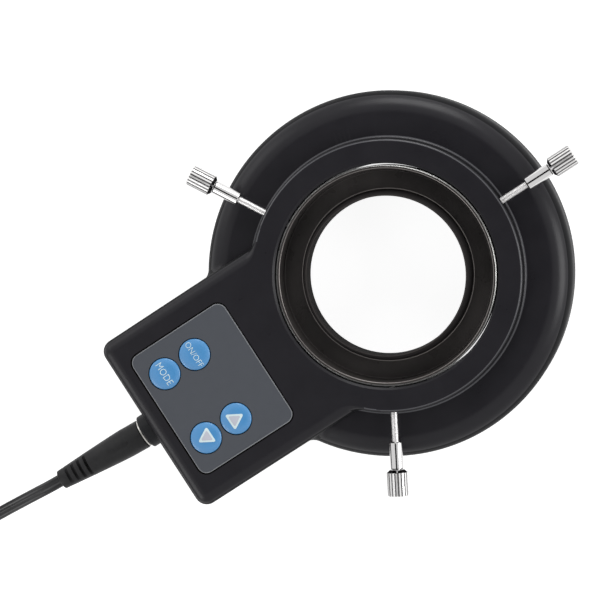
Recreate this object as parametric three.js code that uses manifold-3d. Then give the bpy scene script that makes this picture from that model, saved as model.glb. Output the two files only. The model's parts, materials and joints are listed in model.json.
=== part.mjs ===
// A microscope LED ring light, lying on its LED side: a round housing with a raised clamp collar and a control box
// moulded onto it, three knurled thumbscrews, an adapter ring, a keypad with four buttons, and its supply cord.
// Lengths are in millimetres. +Z is up. The control box points along -Y and one thumbscrew along +Y.
// The sizes below are written about the ring's own axis, and the last lines put the origin under the middle of the
// object without its cord.
import * as THREE from 'three';
import { mergeVertices } from 'three/addons/utils/BufferGeometryUtils.js';
import Module from 'manifold-3d';

const wasm = await Module();
wasm.setup();

// Clearances
const looseFit = 0.3;             // between pieces that are turned, cut or laid against each other
const closeFit = 0.15;            // between pieces that fit into each other
const overrun = 1;                // how far a cut runs past the face that it opens
const weldDistance = 0.0001;      // vertices nearer than this are one vertex

// Ring, from the way through its middle outwards
const tubeRadius = 31.5;          // for a 61 mm adapter
const tubeWall = 3;
const channelWidth = 14.2;        // room for the LED board
const rimWall = 2.6;
const rimRounding = 6.3;
const footChamfer = 0.6;
const deckWall = 2.4;
const ringSegments = 60;
const rimSteps = 5;

// Window and LED board, from the resting face upwards
const windowSetback = 0.4;
const windowThickness = 2;
const windowLedge = 1;            // how far the window's rebate is cut into the walls on each side
const ledTipToWindow = 0.8;
const ledHeight = 8.4;
const ledRadius = 2.5;
const ledDomeSteps = 2;
const ledSides = 6;
const ledsInRow = 30;
const ledRowShares = [0.25, 0.75]; // of the channel's width
const ledBoardSegments = 30;
const boardThickness = 1.6;
const ledScrewRoom = 3.4;         // between the board and the deck
const ledBoardScrewCount = 3;
const smallScrewHead = 1.4;
const smallScrewHeadHeight = 1.2;
const smallScrewShank = 0.8;
const smallScrewLength = 4;
const smallBossRadius = 2;
const screwSegments = 8;

// Clamp collar and control box, one raised plateau with a keyhole outline
const collarWall = 6.5;
const collarRise = 5;             // of the plateau over the ring's deck
const collarMouthChamfer = 0.4;
const collarSteps = 44;
const boxUnderside = 4;
const boxWall = 2.4;
const boxCorner = 3.5;
const boxTopRounding = 3.4;
const boxFootChamfer = 0.8;
const collarInsetShare = 0.15;    // the collar's edge is this much of the rounding on the box's edge
const neckFillet = 4;             // where the collar runs into the sides of the box
const rimFillet = 4;              // where the ring's rim runs into the sides of the box
const filletSteps = 4;
const cornerSteps = 4;
const topSteps = 4;

// Buttons
const buttonRadius = 4.5;
const buttonProud = 0.5;          // above the label
const buttonDome = 0.35;
const buttonFlange = 0.4;         // beyond the cap, under the roof
const buttonFlangeThickness = 0.8;
const buttonStem = 1.6;
const buttonSegments = 16;
const buttonRowSetback = 0.9;     // from the ring's rim to the flanges of the near row
const buttonRowGap = 0.3;         // between the flanges of the two rows
const buttonTravel = 0.5;
const switchSize = 6;
const switchHeight = 3.5;
const plungerRadius = 1.7;
const plungerProud = 1.3;
const plungerDepth = 1.2;

// Keypad label
const labelGap = 4.4;             // from the collar
const labelMargin = 6.8;          // from the middles of the far row to the label's far edge
const labelSideMargin = 7.4;      // from the label to the sides of the box
const labelEndMargin = 5.5;       // from the label to the end of the box
const labelCorner = 3;
const labelThickness = 0.5;
const labelRecess = 0.7;

// Control board and what it carries
const coverRoom = 1.6;            // between the cover and the board
const controlBoardSetback = 2.7;  // from the ring's rim
const controlBoardEndGap = 0.7;
const controlBoardMargin = 0.4;
const controlScrewGap = 0.45;     // from the button flanges to the middles of the screws
const chipWidth = 5;
const chipLength = 6;
const chipHeight = 1.7;
const capacitorRadius = 2.5;
const capacitorHeight = 7;
const partsGap = 1.5;             // from the middle of the board to the chip and to the capacitor
const partsSideGap = 1.15;        // from the chip to the switches

// Cover of the control box
const coverThickness = 2.2;
const coverLedge = 1.2;
const coverScrewHead = 2;
const coverScrewHeadHeight = 1.2;
const coverScrewShank = 1;
const coverScrewLength = 8;
const coverBossRadius = 2.6;
const coverBossGap = 0.4;         // from the control board
const coverBossSideGap = 0.6;     // from the side walls
const coverBossEndGap = 0.9;      // from the end wall
const coverScrewSetback = 3.7;    // from the ring's rim

// Supply socket and its nut
const jackRise = 4.6;             // of the socket's axis over the control board
const jackBodyHalfWidth = 4.5;
const jackBodyLength = 13;
const jackBodyHeight = 10;
const jackNoseRadius = 3.9;
const jackNoseWall = 0.7;
const jackBoreDepth = 10.5;
const jackPinRadius = 0.85;
const jackPinLength = 8;
const jackNutWall = 1;
const jackNutLength = 3.3;
const jackNutChamfer = 0.4;
const jackSegments = 20;

// Adapter ring in the collar
const adapterGap = 0.8;           // round it, which the thumbscrews take up
const adapterDrop = 0.6;          // of its top under the collar's top
const adapterHeight = 9;
const adapterWidth = 8.6;         // from its outside to its bore
const adapterChamfer = 0.5;
const adapterWallTop = 0.9;
const adapterWallFoot = 1.5;
const adapterFlange = 2.6;
const adapterHubDrop = 0.4;
const adapterHubWall = 0.8;
const adapterHubFoot = 1.7;
const adapterHubEdge = 0.4;
const adapterGrooveDepth = 0.5;
const adapterGrooveHalfWidth = 0.7;
const adapterSegments = 40;

// Thumbscrews
const screwAngles = [90, 210, 330];
const threadRadius = 1;
const threadTipRadius = 0.35;
const threadTipLength = 0.9;
const threadShown = 8.3;          // from the collar to the shank
const shankRadius = 1.85;
const shankChamfer = 0.3;
const shankLength = 7.7;
const spigotRadius = 1.1;
const spigotLength = 5;
const insertRadius = 1.6;
const insertLength = 4.6;
const insertSetback = 0.5;
const knobRadius = 3;
const knurlDepth = 0.28;
const knurlCount = 24;
const knobConeRadius = 2;
const knobConeLength = 0.8;
const knobLength = 7.6;
const knobEndChamfer = 0.35;
const insertSegments = 12;

// Plug on the cord
const plugSkewAngle = 1.8;        // degrees that the plug hangs off the socket's axis
const barrelPlay = 0.45;          // round the barrel in the socket
const barrelPinPlay = 0.35;       // round the socket's pin in the barrel
const barrelLength = 9.5;
const barrelFlangeInset = 0.2;
const barrelFlangeThickness = 0.35;
const plugRadius = 4.2;
const plugLength = 26.3;
const plugEdge = 0.4;
const plugEndHalfWidth = 2.75;
const plugEndHalfHeight = 2.2;
const plugTaperStart = 6;
const plugTaperPower = 1.2;       // how late the plug narrows towards the cord
const plugTaperShares = [0, 0.25, 0.5, 0.75, 1];
const slotCount = 4;
const slotPitch = 2.1;
const slotWidth = 0.9;
const slotsFromEnd = 2.6;
const slotCore = 1.7;
const plugSides = 12;

// Lead from the LED board through the ring's wall to the control board
const leadWidth = 2.6;
const leadThickness = 1.3;
const leadInset = 5.3;            // where it leaves the LED board, from the channel's outer wall
const leadLift = 0.4;             // of its ends over the boards
const leadRise = 1.7;             // of its level stretch over the LED board
const leadTurn = 0.7;
const leadReach = 4.5;            // where it comes down on the control board, from the ring's rim
const leadPassageHalfWidth = 2.4;
const leadPassageHalfHeight = 1.3;

// Twin supply cord: two cores side by side
const cordWidth = 3.6;
const cordThickness = 1.8;
const cordWaist = 0.55;           // half the thickness between the cores
const coreShare = 0.5;            // place of a core's flank across the width
const cordStep = 7;               // between the sections of a free stretch

// Coil of the cord's spare length, in two layers on its narrow edge
const coilCentre = [-27.5, -160];
const coilInner = 13.6;
const coilPitch = 2.45;
const layerRise = 4.2;
const coilTurns = 10.25;
const climbTurns = 0.5;
const loopSteps = 24;
const turnaroundTurns = 0.06;     // how softly the spiral reverses
const tieThickness = 0.8;
const tieWidth = 4;
const tieAngle = 140;

// Plug-in supply at the far end of the cord
const supplyLength = 50;
const supplyHalfWidth = 18;
const supplyBaseHeight = 17;
const supplyCoverHeight = 9;
const supplyCorner = 4;
const supplyEdge = 1.6;
const supplyDraft = 0.8;
const supplyPlace = [-8, -209];   // the middle of the end that the cord comes out of
const supplyCordHeight = 9;
const reliefLength = 12;
const reliefRadius = 3.6;
const reliefEndRadius = 2.5;
const reliefRibs = 4;
const reliefRibDepth = 0.5;
const bladeSpacing = 12.7;
const bladeHalfWidth = 3.15;
const bladeHalfThickness = 0.75;
const bladeLength = 17;
const bladeFromEnd = 30;

// Routes of the cord that aren't coiled, about the ring's axis: chosen by hand
const freeRoute = [
  [-1.35, -115, 13.9],
  [-2.1, -120, 12.9],
  [-3, -126, 10.6],
  [-3.9, -132, 7.7],
  [-4.1, -138, 5.3],
  [-3.4, -144, 3.8],
  [-2, -149.5, 3.1],
];
const tailRoute = [
  [-37, -187.3, 6.6],
  [-43, -190.4, 4.6],
  [-46.6, -195.6, 2.9],
  [-46.3, -201.6, 2.4],
  [-42.4, -206.3, 3.2],
  [-36, -208.6, 5.6],
  [-29.5, -209, 8.2],
];

// Radii of the ring, worked out from the sizes above
const channelInner = tubeRadius + tubeWall;
const channelOuter = channelInner + channelWidth;
const ringRadius = channelOuter + rimWall;
const collarRadius = tubeRadius + collarWall;
const ledRowRadii = ledRowShares.map((share) => channelInner + share * channelWidth);

// Heights
const windowTop = windowSetback + windowThickness;
const ledBoardUnderside = windowTop + ledTipToWindow + ledHeight;
const ledBoardTop = ledBoardUnderside + boardThickness;
const deckUnderside = ledBoardTop + ledScrewRoom;
const deckHeight = deckUnderside + deckWall;
const plateauHeight = deckHeight + collarRise;
const roofUnderside = plateauHeight - boxWall;
const coverTop = boxUnderside + coverThickness;
const controlBoardTop = coverTop + coverRoom + boardThickness;
const switchTop = controlBoardTop + switchHeight;
const plungerTop = switchTop + plungerProud;
const labelTop = plateauHeight - labelRecess + labelThickness;
const jackHeight = controlBoardTop + jackRise;
const screwHeight = deckHeight + collarRise / 2;
const adapterTop = plateauHeight - adapterDrop;
const adapterBottom = adapterTop - adapterHeight;
const adapterFlangeTop = adapterBottom + adapterFlange;
const adapterHubTop = adapterTop - adapterHubDrop;
const coilLift = tieThickness + looseFit;
const coilLow = coilLift + cordWidth / 2;

// Places along the box, from the ring's axis
const flangeRadius = buttonRadius + buttonFlange;
const buttonNearRow = ringRadius + buttonRowSetback + flangeRadius;
const buttonFarRow = buttonNearRow + 2 * flangeRadius + buttonRowGap;
const labelNear = collarRadius + labelGap;
const labelFar = buttonFarRow + labelMargin;
const boxEnd = labelFar + labelEndMargin;
const controlBoardNear = ringRadius + controlBoardSetback;
const controlBoardFar = boxEnd - boxWall - controlBoardEndGap;
const jackInnerEnd = boxEnd - boxWall - closeFit - jackBodyLength;
const partsRow = jackInnerEnd - closeFit - chipLength / 2;
const jackMouth = boxEnd + jackNutLength;

// Places across the box, from its middle
const buttonSpread = partsGap + chipWidth + partsSideGap + switchSize / 2;
const controlScrewSpread = buttonSpread + flangeRadius + controlScrewGap;
const controlBoardHalfWidth = controlScrewSpread + smallBossRadius + controlBoardMargin;
const coverScrewSpread = controlBoardHalfWidth + coverBossRadius + coverBossGap;
const boxHalfWidth = coverScrewSpread + coverBossRadius + coverBossSideGap + boxWall;
const labelHalfWidth = boxHalfWidth - labelSideMargin;

const buttonPlaces = {
  button_on_off: [-buttonSpread, -buttonNearRow],
  button_mode: [-buttonSpread, -buttonFarRow],
  button_up: [buttonSpread, -buttonNearRow],
  button_down: [buttonSpread, -buttonFarRow],
};
const coverScrewNear = ringRadius + coverScrewSetback;
const coverScrewFar = boxEnd - boxWall - coverBossRadius - coverBossEndGap;
const coverScrewPlaces = [
  [coverScrewSpread, -coverScrewNear],
  [coverScrewSpread, -coverScrewFar],
  [-coverScrewSpread, -coverScrewFar],
  [-coverScrewSpread, -coverScrewNear],
];
const controlScrewRow = (buttonNearRow + buttonFarRow) / 2;
const controlScrewPlaces = [
  [controlScrewSpread, -controlScrewRow],
  [-controlScrewSpread, -controlScrewRow],
];

// Radii and places of what fits into the collar and into the socket
const adapterRadius = tubeRadius - adapterGap;
const adapterBore = adapterRadius - adapterWidth;
const screwTip = adapterRadius - adapterGrooveDepth + looseFit;
const shankStart = collarRadius + threadShown;
const shankEnd = shankStart + shankLength;
const knobEnd = shankEnd + knobLength;
const jackBore = jackNoseRadius - jackNoseWall;
const jackNutRadius = jackNoseRadius + jackNutWall;
const barrelRadius = jackBore - barrelPlay;
const barrelBore = jackPinRadius + barrelPinPlay;

// The lead's route, in the plane through the middle of the box
const leadStart = channelOuter - leadInset;
const leadHeight = ledBoardTop + leadRise;
const leadEnd = ringRadius + leadReach;
const leadRoute = [
  [0, -leadStart, ledBoardTop + leadLift],
  [0, -leadStart, ledBoardTop + leadLift + leadTurn],
  [0, -leadStart - 2 * leadTurn, leadHeight],
  [0, -ringRadius + leadTurn, leadHeight],
  [0, -leadEnd + 2 * leadTurn, leadHeight - leadTurn],
  [0, -leadEnd, leadHeight - 4 * leadTurn],
  [0, -leadEnd, controlBoardTop + leadLift],
];

// Materials
const paint = (color, roughness, metalness = 0, extra = {}) =>
  new THREE.MeshStandardMaterial({ color, roughness, metalness, ...extra });
const housingBlack = paint(0x26272b, 0.45);
const adapterBlack = paint(0x25221f, 0.5, 0.3);
const clearPlastic = paint(0xdfe6ea, 0.08, 0, { transparent: true, opacity: 0.4 });
const boardGreen = paint(0x1d5a3a, 0.6);
const labelGrey = paint(0x55575c, 0.45);
const buttonBlue = paint(0x4a90d0, 0.4);
const nickel = paint(0xc9c9cc, 0.25, 1);
const brass = paint(0xb79a55, 0.35, 1);
const steel = paint(0x9a9da1, 0.35, 1);
const partBlack = paint(0x1b1b1d, 0.5);
const cordBlack = paint(0x161617, 0.55);

// Geometry helpers

const degrees = Math.PI / 180;

function toSolid(geometry) {
  const bare = geometry.clone();
  bare.deleteAttribute('normal');
  bare.deleteAttribute('uv');
  const welded = mergeVertices(bare, weldDistance);
  const corners = welded.index.array;
  const faces = [];
  for (let i = 0; i < corners.length; i += 3) {
    const [a, b, c] = [corners[i], corners[i + 1], corners[i + 2]];
    if (a !== b && b !== c && c !== a) faces.push(a, b, c);
  }
  return new wasm.Manifold(new wasm.Mesh({
    numProp: 3,
    vertProperties: Float32Array.from(welded.attributes.position.array),
    triVerts: Uint32Array.from(faces),
  }));
}

function toGeometry(solid) {
  const { vertProperties, triVerts } = solid.getMesh();
  const geometry = new THREE.BufferGeometry();
  geometry.setAttribute('position', new THREE.BufferAttribute(vertProperties, 3));
  geometry.setIndex(new THREE.BufferAttribute(triVerts, 1));
  geometry.computeVertexNormals();
  return geometry;
}

// A profile in [radius, height] pairs, going round counter-clockwise, turned about the Z axis.
function revolve(profile, segments) {
  const points = profile.map(([radius, height]) => new THREE.Vector2(radius, height));
  return new THREE.LatheGeometry(points, segments).rotateX(Math.PI / 2);
}

function revolveClosed(profile, segments) {
  return revolve([...profile, profile[0]], segments);
}

function disc(radius, low, high, segments) {
  return revolve([[0, low], [radius, low], [radius, high], [0, high]], segments);
}

function block(lowX, highX, lowY, highY, lowZ, highZ) {
  return new THREE.BoxGeometry(highX - lowX, highY - lowY, highZ - lowZ)
    .translate((lowX + highX) / 2, (lowY + highY) / 2, (lowZ + highZ) / 2);
}

function arc(x, y, radius, from, to, steps) {
  return Array.from({ length: steps + 1 }, (_, i) => {
    const angle = (from + (to - from) * i / steps) * degrees;
    return [x + radius * Math.cos(angle), y + radius * Math.sin(angle)];
  });
}

// A closed solid through rings of equally many points, each ring counter-clockwise seen from where the last one is.
// The section that closes its ends is the rings' own plan, unless another is given.
function loft(rings, section = null) {
  const count = rings[0].length;
  const faces = [];
  for (let level = 0; level + 1 < rings.length; level++) {
    for (let i = 0; i < count; i++) {
      const a = level * count + i;
      const b = level * count + (i + 1) % count;
      faces.push(a, b, b + count, a, b + count, a + count);
    }
  }
  const cap = (ring) =>
    THREE.ShapeUtils.triangulateShape((section ?? ring).map(([x, y]) => new THREE.Vector2(x, y)), []);
  const last = (rings.length - 1) * count;
  for (const [a, b, c] of cap(rings[0])) faces.push(a, c, b);
  for (const [a, b, c] of cap(rings.at(-1))) faces.push(last + a, last + b, last + c);
  const geometry = new THREE.BufferGeometry();
  geometry.setAttribute('position', new THREE.Float32BufferAttribute(rings.flat(2), 3));
  geometry.setIndex(faces);
  return geometry;
}

function roundedRectangle(lowX, highX, lowY, highY, corner, steps) {
  return [
    ...arc(highX - corner, lowY + corner, corner, -90, 0, steps),
    ...arc(highX - corner, highY - corner, corner, 0, 90, steps),
    ...arc(lowX + corner, highY - corner, corner, 90, 180, steps),
    ...arc(lowX + corner, lowY + corner, corner, 180, 270, steps),
  ];
}

function atHeight(outline, z) {
  return outline.map(([x, y]) => [x, y, z]);
}

function outlineShape(outline) {
  return new THREE.Shape(outline.map(([x, y]) => new THREE.Vector2(x, y)));
}

// Keyhole plateau

// The outline of collar and box as points with the direction that faces out, and how much of an inset each takes.
function keyholeOutline() {
  const filletX = boxHalfWidth + neckFillet;
  const reach = collarRadius + neckFillet;
  const filletY = -Math.sqrt(reach ** 2 - filletX ** 2);
  const meets = Math.atan2(filletY, filletX) / degrees;
  const right = [];
  for (const [x, y] of arc(boxHalfWidth - boxCorner, boxCorner - boxEnd, boxCorner, -90, 0, cornerSteps)) {
    const out = [(x - boxHalfWidth + boxCorner) / boxCorner, (y - boxCorner + boxEnd) / boxCorner];
    right.push({ at: [x, y], out, share: 1 });
  }
  arc(filletX, filletY, neckFillet, 180, 180 + meets, filletSteps).forEach(([x, y], i) => {
    const out = [(filletX - x) / neckFillet, (filletY - y) / neckFillet];
    right.push({ at: [x, y], out, share: 1 + (collarInsetShare - 1) * i / filletSteps });
  });
  const collar = arc(0, 0, collarRadius, meets, 180 - meets, collarSteps).slice(1, -1).map(([x, y]) =>
    ({ at: [x, y], out: [x / collarRadius, y / collarRadius], share: collarInsetShare }));
  const left = right.map(({ at, out, share }) =>
    ({ at: [-at[0], at[1]], out: [-out[0], out[1]], share })).reverse();
  return [...right, ...collar, ...left];
}

function keyholeAt(z, inset) {
  return keyholeOutline().map(({ at, out, share }) =>
    [at[0] - out[0] * inset * share, at[1] - out[1] * inset * share, z]);
}

function keyhole() {
  const rings = [keyholeAt(boxUnderside, boxFootChamfer), keyholeAt(boxUnderside + boxFootChamfer, 0)];
  for (const [along, up] of arc(0, 0, boxTopRounding, 0, 90, topSteps)) {
    rings.push(keyholeAt(plateauHeight - boxTopRounding + up, boxTopRounding - along));
  }
  return loft(rings);
}

// The hollow corner that fills in between the ring's rim and one side of the box, level by level up the rim.
function rimCorner(side) {
  const levels = [boxUnderside + boxFootChamfer, deckHeight - rimRounding];
  const rim = [ringRadius, ringRadius];
  for (const [along, up] of arc(0, 0, rimRounding, 0, 90, rimSteps).slice(1)) {
    levels.push(deckHeight - rimRounding + up);
    rim.push(ringRadius - rimRounding + along);
  }
  const filletX = boxHalfWidth + rimFillet;
  return loft(levels.map((z, i) => {
    const reach = rim[i] + rimFillet;
    const filletY = -Math.sqrt(reach ** 2 - filletX ** 2);
    const meets = Math.atan2(filletY, filletX) / degrees;
    const edge = arc(filletX, filletY, rimFillet, 180, 180 + meets, filletSteps);
    const [rimX, rimY] = edge.at(-1);
    const inward = (rim[i] - rimWall) / rim[i];
    const outline = [[boxHalfWidth - boxWall, filletY], ...edge, [rimX * inward, rimY * inward]];
    const turned = side > 0 ? outline : outline.map(([x, y]) => [-x, y]).reverse();
    return atHeight(turned, z);
  }));
}

// Housing

function ringBody() {
  return revolve([
    [0, 0],
    [ringRadius - footChamfer, 0],
    [ringRadius, footChamfer],
    ...arc(ringRadius - rimRounding, deckHeight - rimRounding, rimRounding, 0, 90, rimSteps),
    [0, deckHeight],
  ], ringSegments);
}

function ringHollow() {
  return revolveClosed([
    [channelInner - windowLedge, -overrun],
    [channelOuter + windowLedge, -overrun],
    [channelOuter + windowLedge, windowTop],
    [channelOuter, windowTop],
    [channelOuter, deckUnderside],
    [channelInner, deckUnderside],
    [channelInner, windowTop],
    [channelInner - windowLedge, windowTop],
  ], ringSegments);
}

function lensWay() {
  return revolve([
    [0, -overrun],
    [tubeRadius, -overrun],
    [tubeRadius, plateauHeight - collarMouthChamfer],
    [tubeRadius + collarMouthChamfer + overrun, plateauHeight + overrun],
    [0, plateauHeight + overrun],
  ], ringSegments);
}

// The inside of the control box, wider at its foot where the cover lies, and clear of the ring.
function boxHollow() {
  const room = boxHalfWidth - boxWall;
  const wide = boxHalfWidth - coverLedge;
  const inner = roundedRectangle(-room, room, boxWall - boxEnd, 0, boxCorner - boxWall, 2);
  const foot = roundedRectangle(-wide, wide, coverLedge - boxEnd, 0, boxCorner - coverLedge, 2);
  const cavity = toSolid(loft([atHeight(inner, boxUnderside), atHeight(inner, roofUnderside)]));
  const rebate = toSolid(loft([atHeight(foot, boxUnderside - overrun), atHeight(foot, coverTop)]));
  return cavity.add(rebate).subtract(toSolid(disc(ringRadius, -overrun, plateauHeight, ringSegments)));
}

function alongScrew(geometry, angle) {
  return geometry.rotateY(Math.PI / 2).rotateZ(angle * degrees);
}

function ringHousing() {
  let solid = toSolid(ringBody()).add(toSolid(keyhole()));
  solid = solid.add(toSolid(rimCorner(1))).add(toSolid(rimCorner(-1)));
  solid = solid.subtract(toSolid(ringHollow())).subtract(toSolid(lensWay())).subtract(boxHollow());

  const label = roundedRectangle(-labelHalfWidth, labelHalfWidth, -labelFar, -labelNear, labelCorner, cornerSteps);
  const recessFloor = plateauHeight - labelRecess;
  solid = solid.subtract(toSolid(loft([atHeight(label, recessFloor), atHeight(label, plateauHeight + overrun)])));
  for (const [x, y] of Object.values(buttonPlaces)) {
    const hole = disc(buttonRadius + closeFit, roofUnderside - overrun, plateauHeight, buttonSegments);
    solid = solid.subtract(toSolid(hole.translate(x, y, 0)));
  }

  const socket = disc(jackNoseRadius + closeFit, boxEnd - boxWall - overrun, boxEnd + overrun, jackSegments);
  solid = solid.subtract(toSolid(socket.rotateX(Math.PI / 2).translate(0, 0, jackHeight)));
  solid = solid.subtract(toSolid(block(
    -leadPassageHalfWidth, leadPassageHalfWidth, -ringRadius - overrun, -channelOuter + overrun,
    leadHeight - leadPassageHalfHeight, leadHeight + leadPassageHalfHeight)));

  for (const angle of screwAngles) {
    const seatEnd = tubeRadius + insertSetback + insertLength + closeFit;
    const seat = disc(insertRadius + closeFit, tubeRadius - overrun, seatEnd, insertSegments);
    const way = disc(threadRadius + looseFit, tubeRadius, collarRadius + overrun, insertSegments);
    for (const cut of [seat, way]) {
      solid = solid.subtract(toSolid(alongScrew(cut, angle).translate(0, 0, screwHeight)));
    }
  }

  for (let i = 0; i < ledBoardScrewCount; i++) {
    solid = solid.add(boss(smallBossRadius, smallScrewShank, ledBoardTop, deckUnderside, smallScrewLength)
      .translate(...ledScrewPlace(i), 0));
  }
  for (const place of controlScrewPlaces) {
    solid = solid.add(boss(smallBossRadius, smallScrewShank, controlBoardTop, roofUnderside, smallScrewLength)
      .translate(...place, 0));
  }
  for (const place of coverScrewPlaces) {
    solid = solid.add(boss(coverBossRadius, coverScrewShank, coverTop, roofUnderside, coverScrewLength)
      .translate(...place, 0));
  }
  return toGeometry(solid);
}

// A moulded post that hangs from a roof, with a blind hole for a screw in its foot.
function boss(radius, shank, low, high, screwLength) {
  const depth = Math.min(low + screwLength, high);
  const post = toSolid(disc(radius, low, high + weldDistance, screwSegments));
  return post.subtract(toSolid(disc(shank + closeFit, low - overrun, depth, screwSegments)));
}

// The board's screws stand between the lamps of the outer row.
function ledScrewPlace(index) {
  const angle = (90 + index * 360 / ledBoardScrewCount) * degrees;
  return [ledRowRadii[1] * Math.cos(angle), ledRowRadii[1] * Math.sin(angle)];
}

// LED side

function ledWindow() {
  const inner = channelInner - windowLedge + closeFit;
  const outer = channelOuter + windowLedge - closeFit;
  return revolveClosed([
    [inner, windowSetback],
    [outer, windowSetback],
    [outer, windowTop],
    [inner, windowTop],
  ], ringSegments);
}

function ledLamp() {
  const domeFoot = ledBoardUnderside - ledHeight + ledRadius;
  const dome = arc(0, domeFoot, ledRadius, -90, 0, ledDomeSteps);
  return revolve([...dome, [ledRadius, ledBoardUnderside + closeFit], [0, ledBoardUnderside + closeFit]], ledSides);
}

function ledBoard() {
  let solid = toSolid(revolveClosed([
    [channelInner + looseFit, ledBoardUnderside],
    [channelOuter - looseFit, ledBoardUnderside],
    [channelOuter - looseFit, ledBoardTop],
    [channelInner + looseFit, ledBoardTop],
  ], ledBoardSegments));
  ledRowRadii.forEach((radius, row) => {
    for (let i = 0; i < ledsInRow; i++) {
      const angle = (90 + (i + row / 2) * 360 / ledsInRow) * degrees;
      const lamp = ledLamp().rotateZ(angle).translate(radius * Math.cos(angle), radius * Math.sin(angle), 0);
      solid = solid.add(toSolid(lamp));
    }
  });
  for (let i = 0; i < ledBoardScrewCount; i++) {
    const hole = disc(smallScrewShank + closeFit, ledBoardUnderside - overrun, ledBoardTop + overrun, screwSegments);
    solid = solid.subtract(toSolid(hole.translate(...ledScrewPlace(i), 0)));
  }
  return toGeometry(solid);
}

// A screw put in from below: its head lies under the face at the height given.
function screwFromBelow(face, head, headHeight, shank, length) {
  return revolve([
    [0, face - headHeight],
    [(head + shank) / 2, face - headHeight],
    [head, face - headHeight / 2],
    [head, face],
    [shank, face],
    [shank, face + length],
    [0, face + length],
  ], screwSegments);
}

// Keypad and buttons

function keypadLabel() {
  const outline = roundedRectangle(
    closeFit - labelHalfWidth, labelHalfWidth - closeFit, closeFit - labelFar, -labelNear - closeFit,
    labelCorner - closeFit, cornerSteps);
  const shape = outlineShape(outline);
  for (const [x, y] of Object.values(buttonPlaces)) {
    shape.holes.push(new THREE.Path().absarc(x, y, buttonRadius + closeFit, 0, 2 * Math.PI, true));
  }
  const sheet = new THREE.ExtrudeGeometry(shape, {
    depth: labelThickness, bevelEnabled: false, curveSegments: buttonSegments / 2,
  });
  return sheet.translate(0, 0, plateauHeight - labelRecess);
}

function buttonCap() {
  const top = labelTop + buttonProud;
  const flangeTop = roofUnderside - closeFit;
  return revolve([
    [0, plungerTop],
    [buttonStem, plungerTop],
    [buttonStem, flangeTop - buttonFlangeThickness],
    [flangeRadius, flangeTop - buttonFlangeThickness],
    [flangeRadius, flangeTop],
    [buttonRadius, flangeTop],
    [buttonRadius, top - buttonDome],
    [buttonRadius - buttonDome, top - buttonDome / 4],
    [0, top],
  ], buttonSegments);
}

function switchBody() {
  const half = switchSize / 2;
  const well = disc(plungerRadius + closeFit, switchTop - plungerDepth - buttonTravel - looseFit,
    switchTop + overrun, screwSegments);
  return toGeometry(toSolid(block(-half, half, -half, half, controlBoardTop, switchTop)).subtract(toSolid(well)));
}

function switchPlunger() {
  return disc(plungerRadius, switchTop - plungerDepth, plungerTop, screwSegments);
}

// Control box

function controlBoard() {
  const outline = roundedRectangle(
    -controlBoardHalfWidth, controlBoardHalfWidth, -controlBoardFar, -controlBoardNear, closeFit, 1);
  const low = controlBoardTop - boardThickness;
  let solid = toSolid(loft([atHeight(outline, low), atHeight(outline, controlBoardTop)]));
  for (const [x, y] of controlScrewPlaces) {
    const hole = disc(smallScrewShank + closeFit, low - overrun, controlBoardTop + overrun, screwSegments);
    solid = solid.subtract(toSolid(hole.translate(x, y, 0)));
  }
  return toGeometry(solid);
}

function boxCover() {
  const wide = boxHalfWidth - coverLedge - closeFit;
  const corner = boxCorner - coverLedge - closeFit;
  const outline = roundedRectangle(-wide, wide, coverLedge + closeFit - boxEnd, 0, corner, 2);
  let solid = toSolid(loft([atHeight(outline, boxUnderside), atHeight(outline, coverTop)]));
  solid = solid.subtract(toSolid(disc(ringRadius + closeFit, 0, plateauHeight, ringSegments)));
  for (const [x, y] of coverScrewPlaces) {
    const well = disc(coverScrewHead + closeFit, 0, boxUnderside + coverScrewHeadHeight, screwSegments);
    const hole = disc(coverScrewShank + closeFit, 0, coverTop + overrun, screwSegments);
    solid = solid.subtract(toSolid(well.translate(x, y, 0))).subtract(toSolid(hole.translate(x, y, 0)));
  }
  return toGeometry(solid);
}

// The socket's block stands on the board; its nose runs out through the end wall, and its pin stands in the bore.
function dcJack() {
  const inside = boxEnd - boxWall - closeFit;
  const low = controlBoardTop;
  let solid = toSolid(block(
    -jackBodyHalfWidth, jackBodyHalfWidth, -inside, jackBodyLength - inside, low, low + jackBodyHeight));
  const alongBox = (geometry) => toSolid(geometry.rotateX(Math.PI / 2).translate(0, 0, jackHeight));
  const mouth = jackMouth - jackNutChamfer;
  const boreEnd = mouth - jackBoreDepth;
  solid = solid.add(alongBox(disc(jackNoseRadius, inside - overrun, mouth, jackSegments)));
  solid = solid.subtract(alongBox(disc(jackBore, boreEnd, mouth + overrun, jackSegments)));
  solid = solid.add(alongBox(disc(jackPinRadius, boreEnd - overrun, boreEnd + jackPinLength, screwSegments)));
  return toGeometry(solid);
}

function jackNut() {
  const inner = jackNoseRadius + closeFit;
  return revolveClosed([
    [inner, boxEnd],
    [jackNutRadius, boxEnd],
    [jackNutRadius, jackMouth - jackNutChamfer],
    [jackNutRadius - jackNutChamfer, jackMouth],
    [inner, jackMouth],
  ], jackSegments).rotateX(Math.PI / 2).translate(0, 0, jackHeight);
}

// Adapter ring: an upright outer wall, a flange and a hub round the bore

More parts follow.
